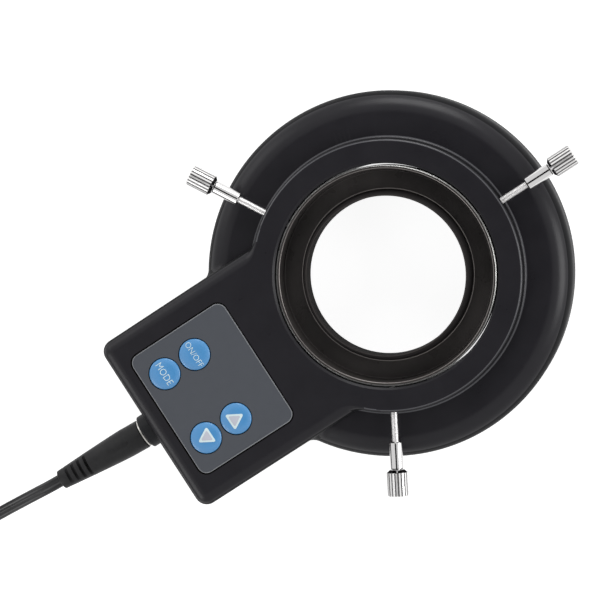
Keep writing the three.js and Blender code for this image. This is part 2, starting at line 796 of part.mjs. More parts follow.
function adapterRing() {
  return revolveClosed([
    [adapterBore, adapterBottom],
    [adapterRadius, adapterBottom],
    [adapterRadius, screwHeight - adapterGrooveHalfWidth],
    [adapterRadius - adapterGrooveDepth, screwHeight],
    [adapterRadius, screwHeight + adapterGrooveHalfWidth],
    [adapterRadius, adapterTop - adapterChamfer],
    [adapterRadius - adapterChamfer, adapterTop],
    [adapterRadius - adapterWallTop, adapterTop],
    [adapterRadius - adapterWallFoot, adapterFlangeTop],
    [adapterBore + adapterHubFoot, adapterFlangeTop],
    [adapterBore + adapterHubWall, adapterHubTop - adapterHubEdge],
    [adapterBore + adapterHubWall - adapterHubEdge, adapterHubTop],
    [adapterBore, adapterHubTop],
  ], adapterSegments);
}

// Thumbscrews, drawn along +Z from the ring's axis and then laid out along their angle

function screwInsert() {
  const start = tubeRadius + insertSetback;
  return revolveClosed([
    [threadRadius + closeFit, start],
    [insertRadius, start],
    [insertRadius, start + insertLength],
    [threadRadius + closeFit, start + insertLength],
  ], insertSegments);
}

function screwShaft() {
  return revolve([
    [0, screwTip],
    [threadTipRadius, screwTip],
    [threadRadius, screwTip + threadTipLength],
    [threadRadius, shankStart],
    [shankRadius - shankChamfer, shankStart],
    [shankRadius, shankStart + shankChamfer],
    [shankRadius, shankEnd],
    [spigotRadius, shankEnd],
    [spigotRadius, shankEnd + spigotLength],
    [0, shankEnd + spigotLength],
  ], insertSegments);
}

function knurledOutline(radius, depth) {
  return Array.from({ length: knurlCount * 2 }, (_, i) => {
    const angle = Math.PI * (i + 1 / 2) / knurlCount;
    const r = radius - (i % 2) * depth;
    return [r * Math.cos(angle), r * Math.sin(angle)];
  });
}

function screwKnob() {
  const low = shankEnd + closeFit;
  let solid = toSolid(loft([
    atHeight(knurledOutline(knobConeRadius, 0), low),
    atHeight(knurledOutline(knobRadius, knurlDepth), low + knobConeLength),
    atHeight(knurledOutline(knobRadius, knurlDepth), knobEnd - knobEndChamfer),
    atHeight(knurledOutline(knobRadius - knobEndChamfer, knurlDepth / 2), knobEnd),
  ]));
  const bore = disc(spigotRadius + closeFit, low - overrun, shankEnd + spigotLength + closeFit, insertSegments);
  solid = solid.subtract(toSolid(bore));
  return toGeometry(solid);
}

// Plug, drawn along +Z from its face and turned to point along -Y

function plugBarrel() {
  return revolveClosed([
    [barrelBore, -barrelLength],
    [barrelRadius, -barrelLength],
    [barrelRadius, 0],
    [plugRadius - barrelFlangeInset, 0],
    [plugRadius - barrelFlangeInset, barrelFlangeThickness],
    [barrelBore, barrelFlangeThickness],
  ], plugSides);
}

function plugBody() {
  const oval = (halfWidth, halfHeight, z) =>
    Array.from({ length: plugSides }, (_, i) => {
      const angle = (i + 1 / 2) * 2 * Math.PI / plugSides;
      return [halfWidth * Math.cos(angle), halfHeight * Math.sin(angle), z];
    });
  const start = barrelFlangeThickness;
  const rings = [
    oval(plugRadius - plugEdge, plugRadius - plugEdge, start),
    oval(plugRadius, plugRadius, start + plugEdge),
  ];
  for (const share of plugTaperShares) {
    const z = plugTaperStart + (plugLength - plugTaperStart) * share;
    const narrowing = share ** plugTaperPower;
    rings.push(oval(
      plugRadius + (plugEndHalfWidth - plugRadius) * narrowing,
      plugRadius + (plugEndHalfHeight - plugRadius) * narrowing, z));
  }
  let solid = toSolid(loft(rings));
  for (let i = 0; i < slotCount; i++) {
    const z = plugLength - slotsFromEnd - i * slotPitch;
    for (const side of [1, -1]) {
      const [near, far] = [side * slotCore, side * (plugRadius + overrun)];
      solid = solid.subtract(toSolid(block(
        -plugRadius - overrun, plugRadius + overrun, Math.min(near, far), Math.max(near, far), z - slotWidth, z)));
    }
  }
  return toGeometry(solid);
}

// Cord

// A curve on which a flat section keeps its wide side in the direction that wideAt gives.
class FlatCurve extends THREE.CatmullRomCurve3 {
  constructor(points, wideAt) {
    super(points, false, 'centripetal');
    this.wideAt = wideAt;
  }

  computeFrenetFrames(steps) {
    const frames = { tangents: [], normals: [], binormals: [] };
    for (let i = 0; i <= steps; i++) {
      const tangent = this.getTangentAt(i / steps);
      const thin = tangent.clone().cross(this.wideAt(i / steps)).normalize();
      frames.tangents.push(tangent);
      frames.normals.push(thin);
      frames.binormals.push(tangent.clone().cross(thin));
    }
    return frames;
  }
}

const upright = new THREE.Vector3(0, 0, 1);
const sideways = new THREE.Vector3(1, 0, 0);

function toVectors(route) {
  return route.map((point) => new THREE.Vector3(...point));
}

// The section of the twin cord, with x across its thickness and y across its width.
function twinSection() {
  const [half, edge, core] = [cordThickness / 2, cordWidth / 2, cordWidth * coreShare / 2];
  const right = [[0, -edge], [half, -core], [cordWaist, 0], [half, core]];
  return [...right, ...right.map(([x, y]) => [-x, -y])];
}

function sweep(curve, section, stepLength) {
  const steps = Math.ceil(curve.getLength() / stepLength);
  return new THREE.ExtrudeGeometry(outlineShape(section), { steps, extrudePath: curve });
}

const plugDirection = new THREE.Vector3(-Math.sin(plugSkewAngle * degrees), -Math.cos(plugSkewAngle * degrees), 0);
const plugFace = new THREE.Vector3(0, -jackMouth - looseFit, jackHeight);
const cordExit = plugFace.clone().addScaledVector(plugDirection, plugLength + looseFit);

// The coil winds in on the lower layer and out again on the upper one, and climbs where the spiral reverses.
function coilPoint(turns) {
  const middle = coilTurns / 2;
  const radius = coilInner + coilPitch * Math.hypot(turns - middle, turnaroundTurns);
  const climb = THREE.MathUtils.smoothstep(turns, middle - climbTurns / 2, middle + climbTurns / 2);
  const angle = -turns * 2 * Math.PI;
  return new THREE.Vector3(
    coilCentre[0] + radius * Math.cos(angle),
    coilCentre[1] + radius * Math.sin(angle),
    coilLow + layerRise * climb);
}

// The points of the coil, with a straight end one width of the cord long before and after the turns.
function coilRoute() {
  const count = Math.round(coilTurns * loopSteps);
  const points = Array.from({ length: count + 1 }, (_, i) => coilPoint(i * coilTurns / count));
  const first = points[0].clone().add(new THREE.Vector3(0, cordWidth, 0));
  const last = points.at(-1).clone().add(new THREE.Vector3(-cordWidth, 0, 0));
  return [first, ...points, last];
}

const coilPoints = coilRoute();

function coilSection() {
  const [half, edge] = [cordThickness / 2, cordWidth / 2];
  return [[0, -edge], [half, -edge / 2], [half, edge / 2], [0, edge], [-half, edge / 2], [-half, -edge / 2]];
}

// A section of the cord on its narrow edge at each point of the coil's route.
function coilRings() {
  return coilPoints.map((point, i) => {
    const before = coilPoints[Math.max(i - 1, 0)];
    const after = coilPoints[Math.min(i + 1, coilPoints.length - 1)];
    const tangent = after.clone().sub(before).normalize();
    const thin = tangent.clone().cross(upright).normalize();
    const wide = tangent.clone().cross(thin);
    return coilSection().map(([x, y]) =>
      point.clone().addScaledVector(thin, x).addScaledVector(wide, y).toArray());
  });
}

// The nearest corners of two sections that lie more than a quarter of a turn apart along the cord.
function leastGap(rings) {
  const apart = loopSteps / 4;
  const corners = rings.map((ring) => toVectors(ring));
  let least = Infinity;
  for (let i = 0; i < rings.length; i++) {
    for (let j = i + apart; j < rings.length; j++) {
      for (const corner of corners[i]) {
        for (const other of corners[j]) least = Math.min(least, corner.distanceTo(other));
      }
    }
  }
  return least;
}

// From the plug down to the surface, turning onto its narrow edge on the way to the coil.
function freeCord() {
  const straight = cordExit.clone().addScaledVector(plugDirection, cordWidth);
  const end = coilPoints[0].clone().add(new THREE.Vector3(0, looseFit, 0));
  const turnOver = (t) => sideways.clone().lerp(upright, THREE.MathUtils.smoothstep(t, 1 / 2, 1));
  return new FlatCurve([cordExit, straight, ...toVectors(freeRoute), end], turnOver);
}

const reliefEnd = supplyPlace[0] - closeFit - reliefLength;

function tailCord() {
  const start = coilPoints.at(-1).clone().add(new THREE.Vector3(-looseFit, 0, 0));
  const inlet = new THREE.Vector3(reliefEnd - looseFit, supplyPlace[1], supplyCordHeight);
  return new FlatCurve([start, ...toVectors(tailRoute), inlet], () => upright);
}

// A band round the bundle of turns.
function coilTie() {
  const middle = coilInner + coilPitch * coilTurns / 4;
  const halfSpan = coilPitch * coilTurns / 4 + cordThickness / 2 + looseFit;
  const low = coilLift - looseFit;
  const high = coilLow + layerRise + cordWidth / 2 + looseFit;
  const outer = outlineShape(roundedRectangle(
    -halfSpan - tieThickness, halfSpan + tieThickness, low - tieThickness, high + tieThickness,
    2 * tieThickness, 2));
  outer.holes.push(new THREE.Path(roundedRectangle(-halfSpan, halfSpan, low, high, tieThickness, 2)
    .map(([x, y]) => new THREE.Vector2(x, y)).reverse()));
  return new THREE.ExtrudeGeometry(outer, { depth: tieWidth, bevelEnabled: false })
    .translate(0, 0, -tieWidth / 2)
    .rotateX(Math.PI / 2)
    .translate(middle, 0, 0)
    .rotateZ(tieAngle * degrees)
    .translate(coilCentre[0], coilCentre[1], 0);
}

// Plug-in supply, lying on its face with the blades of its plug up

function supplyOutline(inset, z) {
  const outline = roundedRectangle(
    inset, supplyLength - inset, inset - supplyHalfWidth, supplyHalfWidth - inset, supplyCorner, cornerSteps);
  return atHeight(outline, z);
}

function supplyBase() {
  return loft([
    supplyOutline(supplyEdge, 0),
    supplyOutline(0, supplyEdge),
    supplyOutline(0, supplyBaseHeight),
  ]);
}

function supplyCover() {
  return loft([
    supplyOutline(0, 0),
    supplyOutline(supplyDraft, supplyCoverHeight - supplyEdge),
    supplyOutline(supplyDraft + supplyEdge, supplyCoverHeight),
  ]);
}

function supplyRelief() {
  const ribs = Array.from({ length: 2 * reliefRibs + 1 }, (_, i) => {
    const share = i / (2 * reliefRibs);
    const radius = reliefRadius + (reliefEndRadius - reliefRadius) * share - (i % 2) * reliefRibDepth;
    return [radius, reliefLength * share];
  });
  return revolve([[0, 0], ...ribs, [0, reliefLength]], screwSegments).rotateY(-Math.PI / 2);
}

// Assembly

const ringLight = new THREE.Group();

function place(name, geometry, material, x = 0, y = 0, z = 0) {
  const mesh = new THREE.Mesh(geometry, material);
  mesh.name = name;
  mesh.position.set(x, y, z);
  ringLight.add(mesh);
}

function smallScrew(face) {
  return screwFromBelow(face, smallScrewHead, smallScrewHeadHeight, smallScrewShank, smallScrewLength - looseFit);
}

place('ring_housing', ringHousing(), housingBlack);
place('led_window', ledWindow(), clearPlastic);
place('led_board', ledBoard(), boardGreen);
for (let i = 0; i < ledBoardScrewCount; i++) {
  place(`led_board_screw_${i + 1}`, smallScrew(ledBoardUnderside), steel, ...ledScrewPlace(i));
}
place('adapter_ring', adapterRing(), adapterBlack);

place('keypad_label', keypadLabel(), labelGrey);
for (const [name, [x, y]] of Object.entries(buttonPlaces)) {
  place(name, buttonCap(), buttonBlue, x, y);
  place(name.replace('button', 'plunger'), switchPlunger(), partBlack, x, y);
  place(name.replace('button', 'switch'), switchBody(), steel, x, y);
}

place('control_board', controlBoard(), boardGreen);
controlScrewPlaces.forEach(([x, y], i) => {
  place(`control_screw_${i + 1}`, smallScrew(controlBoardTop - boardThickness), steel, x, y);
});
const chip = block(-chipWidth / 2, chipWidth / 2, -chipLength / 2, chipLength / 2, 0, chipHeight);
place('driver_chip', chip, partBlack, -partsGap - chipWidth / 2, -partsRow, controlBoardTop);
const can = disc(capacitorRadius, 0, capacitorHeight, screwSegments);
place('capacitor', can, partBlack, partsGap + capacitorRadius, -partsRow, controlBoardTop);
place('dc_jack', dcJack(), partBlack);
place('jack_nut', jackNut(), partBlack);
const leadSection = roundedRectangle(
  -leadThickness / 2, leadThickness / 2, -leadWidth / 2, leadWidth / 2, leadThickness / 4, 1);
const lead = new FlatCurve(toVectors(leadRoute), () => sideways);
place('led_lead', sweep(lead, leadSection, leadThickness), cordBlack);

place('box_cover', boxCover(), housingBlack);
coverScrewPlaces.forEach(([x, y], i) => {
  const screw = screwFromBelow(
    boxUnderside + coverScrewHeadHeight, coverScrewHead, coverScrewHeadHeight, coverScrewShank,
    coverScrewLength - looseFit);
  place(`cover_screw_${i + 1}`, screw, steel, x, y);
});

screwAngles.forEach((angle, i) => {
  place(`screw_insert_${i + 1}`, alongScrew(screwInsert(), angle), brass, 0, 0, screwHeight);
  place(`screw_shaft_${i + 1}`, alongScrew(screwShaft(), angle), nickel, 0, 0, screwHeight);
  place(`screw_knob_${i + 1}`, alongScrew(screwKnob(), angle), nickel, 0, 0, screwHeight);
});

for (const [name, geometry, material] of [
  ['plug_barrel', plugBarrel(), nickel],
  ['plug_body', plugBody(), partBlack],
]) {
  geometry.rotateX(Math.PI / 2).rotateZ(-plugSkewAngle * degrees);
  place(name, geometry, material, ...plugFace.toArray());
}
place('cord_free', sweep(freeCord(), twinSection(), cordStep), cordBlack);
const turns = coilRings();
console.log(`least gap between the turns of the coil: ${leastGap(turns).toFixed(2)} mm`);
place('cord_coil', loft(turns, coilSection()), cordBlack);
place('cord_tail', sweep(tailCord(), twinSection(), cordStep), cordBlack);
place('coil_tie', coilTie(), partBlack);

const [supplyX, supplyY] = supplyPlace;
place('supply_base', supplyBase(), partBlack, supplyX, supplyY);
place('supply_cover', supplyCover(), partBlack, supplyX, supplyY, supplyBaseHeight);
place('supply_relief', supplyRelief(), partBlack, supplyX - closeFit, supplyY, supplyCordHeight);
for (const [name, side] of [['supply_blade_left', -1], ['supply_blade_right', 1]]) {
  const blade = block(
    -bladeHalfWidth, bladeHalfWidth, -bladeHalfThickness, bladeHalfThickness, 0, bladeLength);
  const blades = [supplyX + bladeFromEnd, supplyY + side * bladeSpacing / 2, supplyBaseHeight + supplyCoverHeight];
  place(name, blade, nickel, ...blades);
}

// The origin lies on the resting face, under the middle of the object without its cord.
ringLight.position.y = (jackMouth - knobEnd) / 2;

export default ringLight;
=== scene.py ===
# %% [markdown]
# # A microscope's ring light, dressed for its photograph
# The construction is settled already: every piece has its size and its place in the frame that is
# loaded here. This lesson gives the pieces their fine surfaces, one after the other, and photographs
# them from nearly straight above. All lengths are in metres, so sizes are written times mm.

# %% Load the frame
import json
import math
from contextlib import contextmanager

import bmesh
import bpy
from mathutils import Matrix, Vector


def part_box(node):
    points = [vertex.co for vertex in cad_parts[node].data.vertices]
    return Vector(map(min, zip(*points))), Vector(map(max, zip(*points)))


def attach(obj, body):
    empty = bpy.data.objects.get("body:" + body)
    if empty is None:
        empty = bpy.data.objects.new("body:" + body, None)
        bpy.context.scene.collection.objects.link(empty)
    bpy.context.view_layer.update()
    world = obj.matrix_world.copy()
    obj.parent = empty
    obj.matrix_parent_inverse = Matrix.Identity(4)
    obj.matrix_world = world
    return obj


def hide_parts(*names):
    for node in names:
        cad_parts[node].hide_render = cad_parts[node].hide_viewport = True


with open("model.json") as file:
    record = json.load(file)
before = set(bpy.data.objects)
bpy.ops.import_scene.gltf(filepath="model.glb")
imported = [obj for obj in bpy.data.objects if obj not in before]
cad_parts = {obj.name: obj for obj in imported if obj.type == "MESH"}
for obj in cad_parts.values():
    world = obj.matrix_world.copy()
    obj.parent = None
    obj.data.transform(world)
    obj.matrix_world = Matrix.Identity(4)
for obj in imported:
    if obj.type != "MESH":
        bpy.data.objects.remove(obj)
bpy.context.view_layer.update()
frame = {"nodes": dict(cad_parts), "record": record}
mm = 0.001

# %% [markdown]
# The main sizes are measured on the frame, so that nothing has to be fitted afterwards. The ring's
# axis is the middle of the adapter ring, and every place below counts from it.

# %% Sizes of the frame
adapter_low, adapter_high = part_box("adapter_ring")
housing_low, housing_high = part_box("ring_housing")
label_low, label_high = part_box("keypad_label")
window_low, window_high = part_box("led_window")
cover_low, cover_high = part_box("box_cover")
nut_low, nut_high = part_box("jack_nut")
axis_y = (adapter_low.y + adapter_high.y) / 2
ring_radius = housing_high.x
plateau_height = housing_high.z
box_end = axis_y - housing_low.y
box_underside = cover_low.z
cover_top = cover_high.z
jack_height = (nut_low.z + nut_high.z) / 2
jack_mouth = axis_y - nut_low.y
print(f"ring radius {ring_radius / mm:.1f} mm, plateau {plateau_height / mm:.1f} mm high")


def place(x, y, z):
    """A point that is given from the ring's axis."""
    return Vector((x, y + axis_y, z))


def up(height):
    return Vector((0, 0, height))


def middle_of(name):
    """Where an upright node stands, from the ring's axis."""
    low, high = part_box(name)
    return Vector(((low.x + high.x) / 2, (low.y + high.y) / 2 - axis_y, 0))


def spots(kind, count):
    """Where the nodes kind_1, kind_2 and so on stand."""
    return [middle_of(f"{kind}_{i + 1}") for i in range(count)]


# %% [markdown]
# ## Tools of the workshop
# Each piece starts as a primitive and is shaped in edit mode. These helpers select what an operator
# works on, because an operator acts on all that is selected.

# %% Select and edit
fine = 0.001 * mm
ring_steps = 200


def only(piece):
    bpy.ops.object.select_all(action="DESELECT")
    piece.select_set(True)
    bpy.context.view_layer.objects.active = piece
    return piece


def named(name):
    """The primitive that was added last, under its name."""
    piece = bpy.context.object
    piece.name = piece.data.name = name
    return only(piece)


@contextmanager
def edit(piece, kind="VERT"):
    """Edit mode on one piece, with all of it selected."""
    only(piece)
    bpy.ops.object.mode_set(mode="EDIT")
    bpy.ops.mesh.select_mode(type=kind)
    bpy.ops.mesh.select_all(action="SELECT")
    yield
    bpy.ops.object.mode_set(mode="OBJECT")


def pick(piece, kind, wanted):
    """In edit mode, selects the verts or edges that answer wanted."""
    bpy.ops.mesh.select_mode(type={"verts": "VERT", "edges": "EDGE"}[kind])
    bpy.ops.mesh.select_all(action="DESELECT")
    net = bmesh.from_edit_mesh(piece.data)
    for part in [part for part in getattr(net, kind) if wanted(part)]:
        part.select_set(True)
    net.select_flush_mode()
    bmesh.update_edit_mesh(piece.data)


def middle(edge):
    return (edge.verts[0].co + edge.verts[1].co) / 2


def upright(edge):
    return abs(edge.verts[0].co.z - edge.verts[1].co.z) > fine


def sharp_at(height):
    """Answers for the sharp edges that lie at one height."""
    return lambda e: all(abs(v.co.z - height) < fine for v in e.verts) and e.calc_face_angle(0) > 0.5


def weld():
    """In edit mode, merges doubles and turns all faces outwards."""
    bpy.ops.mesh.select_all(action="SELECT")
    bpy.ops.mesh.remove_doubles(threshold=fine)
    bpy.ops.mesh.normals_make_consistent(inside=False)


def apply(piece, kind, **settings):
    """Adds a modifier and applies it."""
    only(piece)
    modifier = piece.modifiers.new(kind.title(), kind)
    for setting, value in settings.items():
        setattr(modifier, setting, value)
    bpy.ops.object.modifier_apply(modifier=modifier.name)


# %% [markdown]
# A lathe needs only a section: one vertex is extruded from point to point, its corners are rounded
# by a vertex bevel, and the wire is spun about the axis. Mouldings start as a slab with rounded
# upright edges, or as an outline that is filled and extruded.

# %% Lathe, slab, rod and outline
def wire(name, points):
    """A chain of vertices through points, drawn by extruding one vertex."""
    bpy.ops.mesh.primitive_plane_add(size=mm, location=(0, 0, 0))
    piece = named(name)
    with edit(piece):
        bpy.ops.mesh.merge(type="CENTER")
        bpy.ops.transform.translate(value=points[0])
        for here, there in zip(points, points[1:]):
            bpy.ops.mesh.extrude_vertices_move(TRANSFORM_OT_translate={"value": there - here})
    return piece


def turned(name, section, steps, closed=False, round_steps=5):
    """A piece turned about Z, from points of radius, height and, where it has one, a rounding."""
    points = [Vector((point[0], 0, point[1])) for point in section]
    piece = wire(name, points + points[:1] if closed else points)
    with edit(piece):
        bpy.ops.mesh.remove_doubles(threshold=fine)
        for size in sorted({point[2] for point in section if len(point) > 2}):
            corners = [Vector((p[0], 0, p[1])) for p in section if len(p) > 2 and p[2] == size]
            pick(piece, "verts", lambda v: any((v.co - corner).length < fine for corner in corners))
            bpy.ops.mesh.bevel(offset=size, segments=round_steps, affect="VERTICES")
        bpy.ops.mesh.select_all(action="SELECT")
        bpy.ops.mesh.spin(steps=steps, angle=math.tau, center=(0, 0, 0), axis=(0, 0, 1))
        weld()
    return piece


def slab(name, low, high, corner=0.0, steps=6):
    """A block between two corners, with its upright edges rounded."""
    low, high = Vector(low), Vector(high)
    bpy.ops.mesh.primitive_cube_add(size=1, location=(low + high) / 2, scale=high - low)
    piece = settle(named(name))
    return soften(piece, corner, upright, steps) if corner else piece


def soften(piece, size, wanted, steps=3):
    """Bevels the edges that answer wanted."""
    with edit(piece, "EDGE"):
        pick(piece, "edges", wanted)
        bpy.ops.mesh.bevel(offset=size, segments=steps, affect="EDGES")
    return piece


def settle(piece):
    """Puts the piece's place into its mesh."""
    only(piece)
    bpy.ops.object.transform_apply(location=True, rotation=True, scale=True)
    return piece


def rod(name, radius, start, end, steps=32):
    """A cylinder between two points, to cut or to join with."""
    along = end - start
    bpy.ops.mesh.primitive_cylinder_add(
        vertices=steps, radius=radius, depth=along.length, location=(start + end) / 2,
        rotation=along.to_track_quat("Z", "Y").to_euler())
    return settle(named(name))


def plate(name, outline, low, high):
    """A closed outline of (x, y) filled and extruded upwards."""
    points = [Vector((x, y, low)) for x, y in outline]
    piece = wire(name, points + points[:1])
    with edit(piece):
        bpy.ops.mesh.remove_doubles(threshold=fine)
        bpy.ops.mesh.edge_face_add()
        bpy.ops.mesh.extrude_region_move(TRANSFORM_OT_translate={"value": (0, 0, high - low)})
        weld()
    return piece


def arc(x, y, radius, start, end, steps):
    """Points of (x, y) on an arc, with its angles in degrees."""
    angles = [math.radians(start + (end - start) * i / steps) for i in range(steps + 1)]
    return [(x + radius * math.cos(a), y + radius * math.sin(a)) for a in angles]


def join(name, pieces):
    bpy.ops.object.select_all(action="DESELECT")
    for piece in pieces:
        piece.select_set(True)
    bpy.context.view_layer.objects.active = pieces[0]
    bpy.ops.object.join()
    return named(name)


def combine(piece, tool, operation):
    """A boolean with a tool that is thrown away afterwards."""
    apply(piece, "BOOLEAN", object=tool, operation=operation, solver="EXACT")
    bpy.data.objects.remove(tool)


def cut(piece, *tools):
    for tool in tools:
        combine(piece, tool, "DIFFERENCE")


def drill(piece, radius, spot, low, high, steps=24):
    """Cuts an upright hole between two heights."""
    cut(piece, rod("drill", radius, spot + up(low), spot + up(high), steps))


def moved(piece, matrix):
    """Lays a piece in its place."""
    piece.matrix_world = matrix
    return settle(piece)


def about_axis(piece, spot=(0, 0, 0)):
    """Lays a piece round the ring's axis, or round a spot beside it."""
    return moved(piece, Matrix.Translation(place(*spot)))


def copied(piece, name):
    """A copy with a mesh of its own."""
    only(piece)
    bpy.ops.object.duplicate()
    return named(name)


# %% [markdown]
# A finished piece gets its shading, its material and the body that it moves with. Flat faces keep
# straight normals beside a rounding where the normals are weighted by area.

# %% Finish a piece
def finish(piece, material, slot, *nodes, body="light", sharp=35, weighted=True):
    only(piece)
    bpy.ops.object.shade_smooth_by_angle(angle=math.radians(sharp))
    if weighted:
        apply(piece, "WEIGHTED_NORMAL", keep_sharp=True)
    piece.data.materials.clear()
    piece.data.materials.append(material)
    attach(piece, body)
    if nodes:
        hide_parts(*nodes)
    print(f"{piece.name}: {len(piece.data.polygons)} faces")
    return piece


def touch(piece, material, wanted):
    """Gives the faces that answer wanted another material."""
    piece.data.materials.append(material)
    slot = len(piece.data.materials) - 1
    for face in piece.data.polygons:
        if wanted(face):
            face.material_index = slot


def leans(face, low, high):
    """Whether the upward part of a face's normal lies between two limits; it is 1 on a level face."""
    return low < face.normal.z < high


def from_axis(point):
    """Distance of a point from the ring's axis, in plan."""
    return math.hypot(point.x, point.y - axis_y)


# %% [markdown]
# ## Camera
# The photograph was taken from almost straight above, a little from beyond the ring, with a long
# lens: the ring's walls show only a hair's breadth. The camera's place and turn come from a fit to
# the ring, the box, the buttons and the screws in the picture.

# %% Camera
camera_place = Vector((10.15, 111.48, 895.55)) * mm
camera_right = Vector((0.54322, 0.82954, -0.12951)).normalized()
camera_back = Vector((0.01984, 0.14153, 0.98973)).normalized()
camera_lens = 190.35

bpy.ops.object.camera_add(location=camera_place)
camera = bpy.context.object
camera_up = camera_back.cross(camera_right)
turn = Matrix((camera_right, camera_up, camera_back)).transposed()
camera.rotation_euler = turn.to_euler()
camera.data.lens = camera_lens
camera.data.sensor_width = 36
camera.data.clip_start = 0.05
camera.data.clip_end = 20
bpy.context.scene.camera = camera
print("camera at", [round(x, 3) for x in camera_place])

# %% [markdown]
# ## Colours and finishes
# A finish is more than its colour. Satin plastic has a fine grain from the mould and a little
# unevenness in its gloss; both come from noise on the object's own coordinates, so they stay put
# when a piece moves. Values that are the same all over sit on the shader's own sockets.

# %% Material helpers
noise_low, noise_high = 0.3, 0.7


def linear(red, green, blue):
    """A colour as seen on screen, 0 to 255, in the shader's linear light."""
    def channel(value):
        share = value / 255
        return share / 12.92 if share <= 0.04045 else ((share + 0.055) / 1.055) ** 2.4
    return (channel(red), channel(green), channel(blue), 1.0)


class Finish:
    """A material with its node tree at hand."""

    def __init__(self, name, colour, roughness, metallic=0.0, specular=0.5):
        self.material = bpy.data.materials.new(name)
        self.material.use_nodes = True
        self.material.diffuse_color = colour
        self.nodes = self.material.node_tree.nodes
        self.links = self.material.node_tree.links
        self.shader = self.nodes["Principled BSDF"]
        self.colour = colour
        self.roughness = roughness
        self.set({"Base Color": colour, "Roughness": roughness, "Metallic": metallic,
                  "Specular IOR Level": specular})

    def set(self, values):
        """Values that are the same all over, on the shader's own sockets."""
        for socket, value in values.items():
            self.shader.inputs[socket].default_value = value

    def node(self, kind, **settings):
        made = self.nodes.new(kind)
        for setting, value in settings.items():
            setattr(made, setting, value)
        return made

    def coordinates(self, centre=(0, 0, 0)):
        """Object coordinates, counted from a centre."""
        source = self.node("ShaderNodeTexCoord")
        mapping = self.node("ShaderNodeMapping", vector_type="TEXTURE")
        mapping.inputs["Location"].default_value = centre
        self.links.new(source.outputs["Object"], mapping.inputs["Vector"])
        return mapping.outputs["Vector"]

    def noise(self, size, detail=3):
        made = self.node("ShaderNodeTexNoise")
        made.inputs["Scale"].default_value = 1 / size
        made.inputs["Detail"].default_value = detail
        self.links.new(self.coordinates(), made.inputs["Vector"])
        return made.outputs["Fac"]

    def ramp(self, value, low, high, start=0.0, end=1.0):
        """A value led from one range to another."""
        made = self.node("ShaderNodeMapRange")
        self.links.new(value, made.inputs["Value"])
        for name, number in zip(("From Min", "From Max", "To Min", "To Max"), (start, end, low, high)):
            made.inputs[name].default_value = number
        return made.outputs["Result"]

    def shades(self, value, dark, light, start=noise_low, end=noise_high):
        """Leads a value between two shades of the colour into the base colour."""
        made = self.node("ShaderNodeMix", data_type="RGBA")
        self.links.new(self.ramp(value, 0, 1, start, end), made.inputs["Factor"])
        tones = [tuple(c * tone for c in self.colour[:3]) + (1.0,) for tone in (dark, light)]
        for socket, tone in zip([s for s in made.inputs if s.type == "RGBA"], tones):
            socket.default_value = tone
        result = [s for s in made.outputs if s.type == "RGBA"][0]
        self.links.new(result, self.shader.inputs["Base Color"])

    def gloss(self, value, spread):
        """Lets the roughness wander by spread on both sides."""
        rough = self.ramp(value, self.roughness - spread, self.roughness + spread, noise_low, noise_high)
        self.links.new(rough, self.shader.inputs["Roughness"])

    def bump(self, value, depth):
        """Turns a value into relief."""
        made = self.node("ShaderNodeBump")
        made.inputs["Distance"].default_value = depth
        self.links.new(value, made.inputs["Height"])
        self.links.new(made.outputs["Normal"], self.shader.inputs["Normal"])

    def vary(self, grain, gloss, tone):
        """Relief, gloss and shade from noise, each given as size, detail and strength."""
        self.bump(self.noise(*grain[:2]), grain[2])
        self.gloss(self.noise(*gloss[:2]), gloss[2])
        self.shades(self.noise(*tone[:2]), 1 - tone[2], 1 + tone[2])
        return self.material


# %% [markdown]
# The housing is bluish black with a satin grain. The adapter is turned aluminium, anodised to a
# browner black, with the fine rings of the tool round its axis. The thumbscrews are nickel plated:
# bright on the shank, satin on the knob and duller on the flanks of the thread.

# %% Plastics of the light
grain_size = 0.32 * mm
patch_size = 9 * mm


def moulded(name, colour, roughness, specular=0.2, grain=0.008 * mm, mottle=0.04):
    """Moulded plastic: a fine grain and slow unevenness of its gloss and shade."""
    return Finish(name, colour, roughness, specular=specular).vary(
        (grain_size, 2, grain), (patch_size, 3, 0.03), (patch_size / 3, 4, mottle))


housing_plastic = moulded("housing plastic", linear(34, 33, 37), 0.3)
# Painted shade: the upright walls get a darker copy of the housing plastic, because the low lights fall on
# them more strongly than on the flats.
side_plastic_painted_shade = moulded("housing plastic, side walls, painted shade", linear(20, 20, 22), 0.5, specular=0.06)
# Painted highlight: a light plastic on the collar's upper edge and on the fillet at its foot, standing in for
# the thin gleam of light along them.
edge_plastic_painted_highlight = moulded("housing plastic, painted highlight on edges", linear(76, 76, 80), 0.3, specular=0.4)
cover_plastic = moulded("cover plastic", linear(30, 31, 34), 0.5)
supply_plastic = moulded("supply plastic", linear(24, 24, 26), 0.5, grain=0.03 * mm)
part_plastic = moulded("component plastic", linear(25, 25, 27), 0.45)
label_film = moulded("label film", linear(81, 84, 90), 0.5, grain=0.004 * mm, mottle=0.02)
button_blue = moulded("button blue", linear(80, 150, 208), 0.3, specular=0.8, mottle=0.02)
arrow_fill = moulded("arrow print", linear(204, 207, 219), 0.5, grain=0.004 * mm)
letter_white = moulded("letter print", linear(226, 244, 246), 0.5, grain=0.004 * mm)
# Painted highlight: a light colour on the film's broken upper edge, for the thin light line round it.
film_edge_painted_highlight = moulded("film edge, painted highlight", linear(150, 152, 156), 0.4, grain=0.004 * mm)
print("plastics ready")

# %% Turned and plated metals
polish_size = 1.2 * mm
ripple_size = 0.5 * mm
ripple_depth = 0.004 * mm


def plated(name, colour, roughness):
    """Plated metal with a faint unevenness in its polish."""
    made = Finish(name, colour, roughness, metallic=1.0)
    made.gloss(made.noise(polish_size, detail=4), 0.05)
    made.bump(made.noise(ripple_size), ripple_depth)
    return made.material


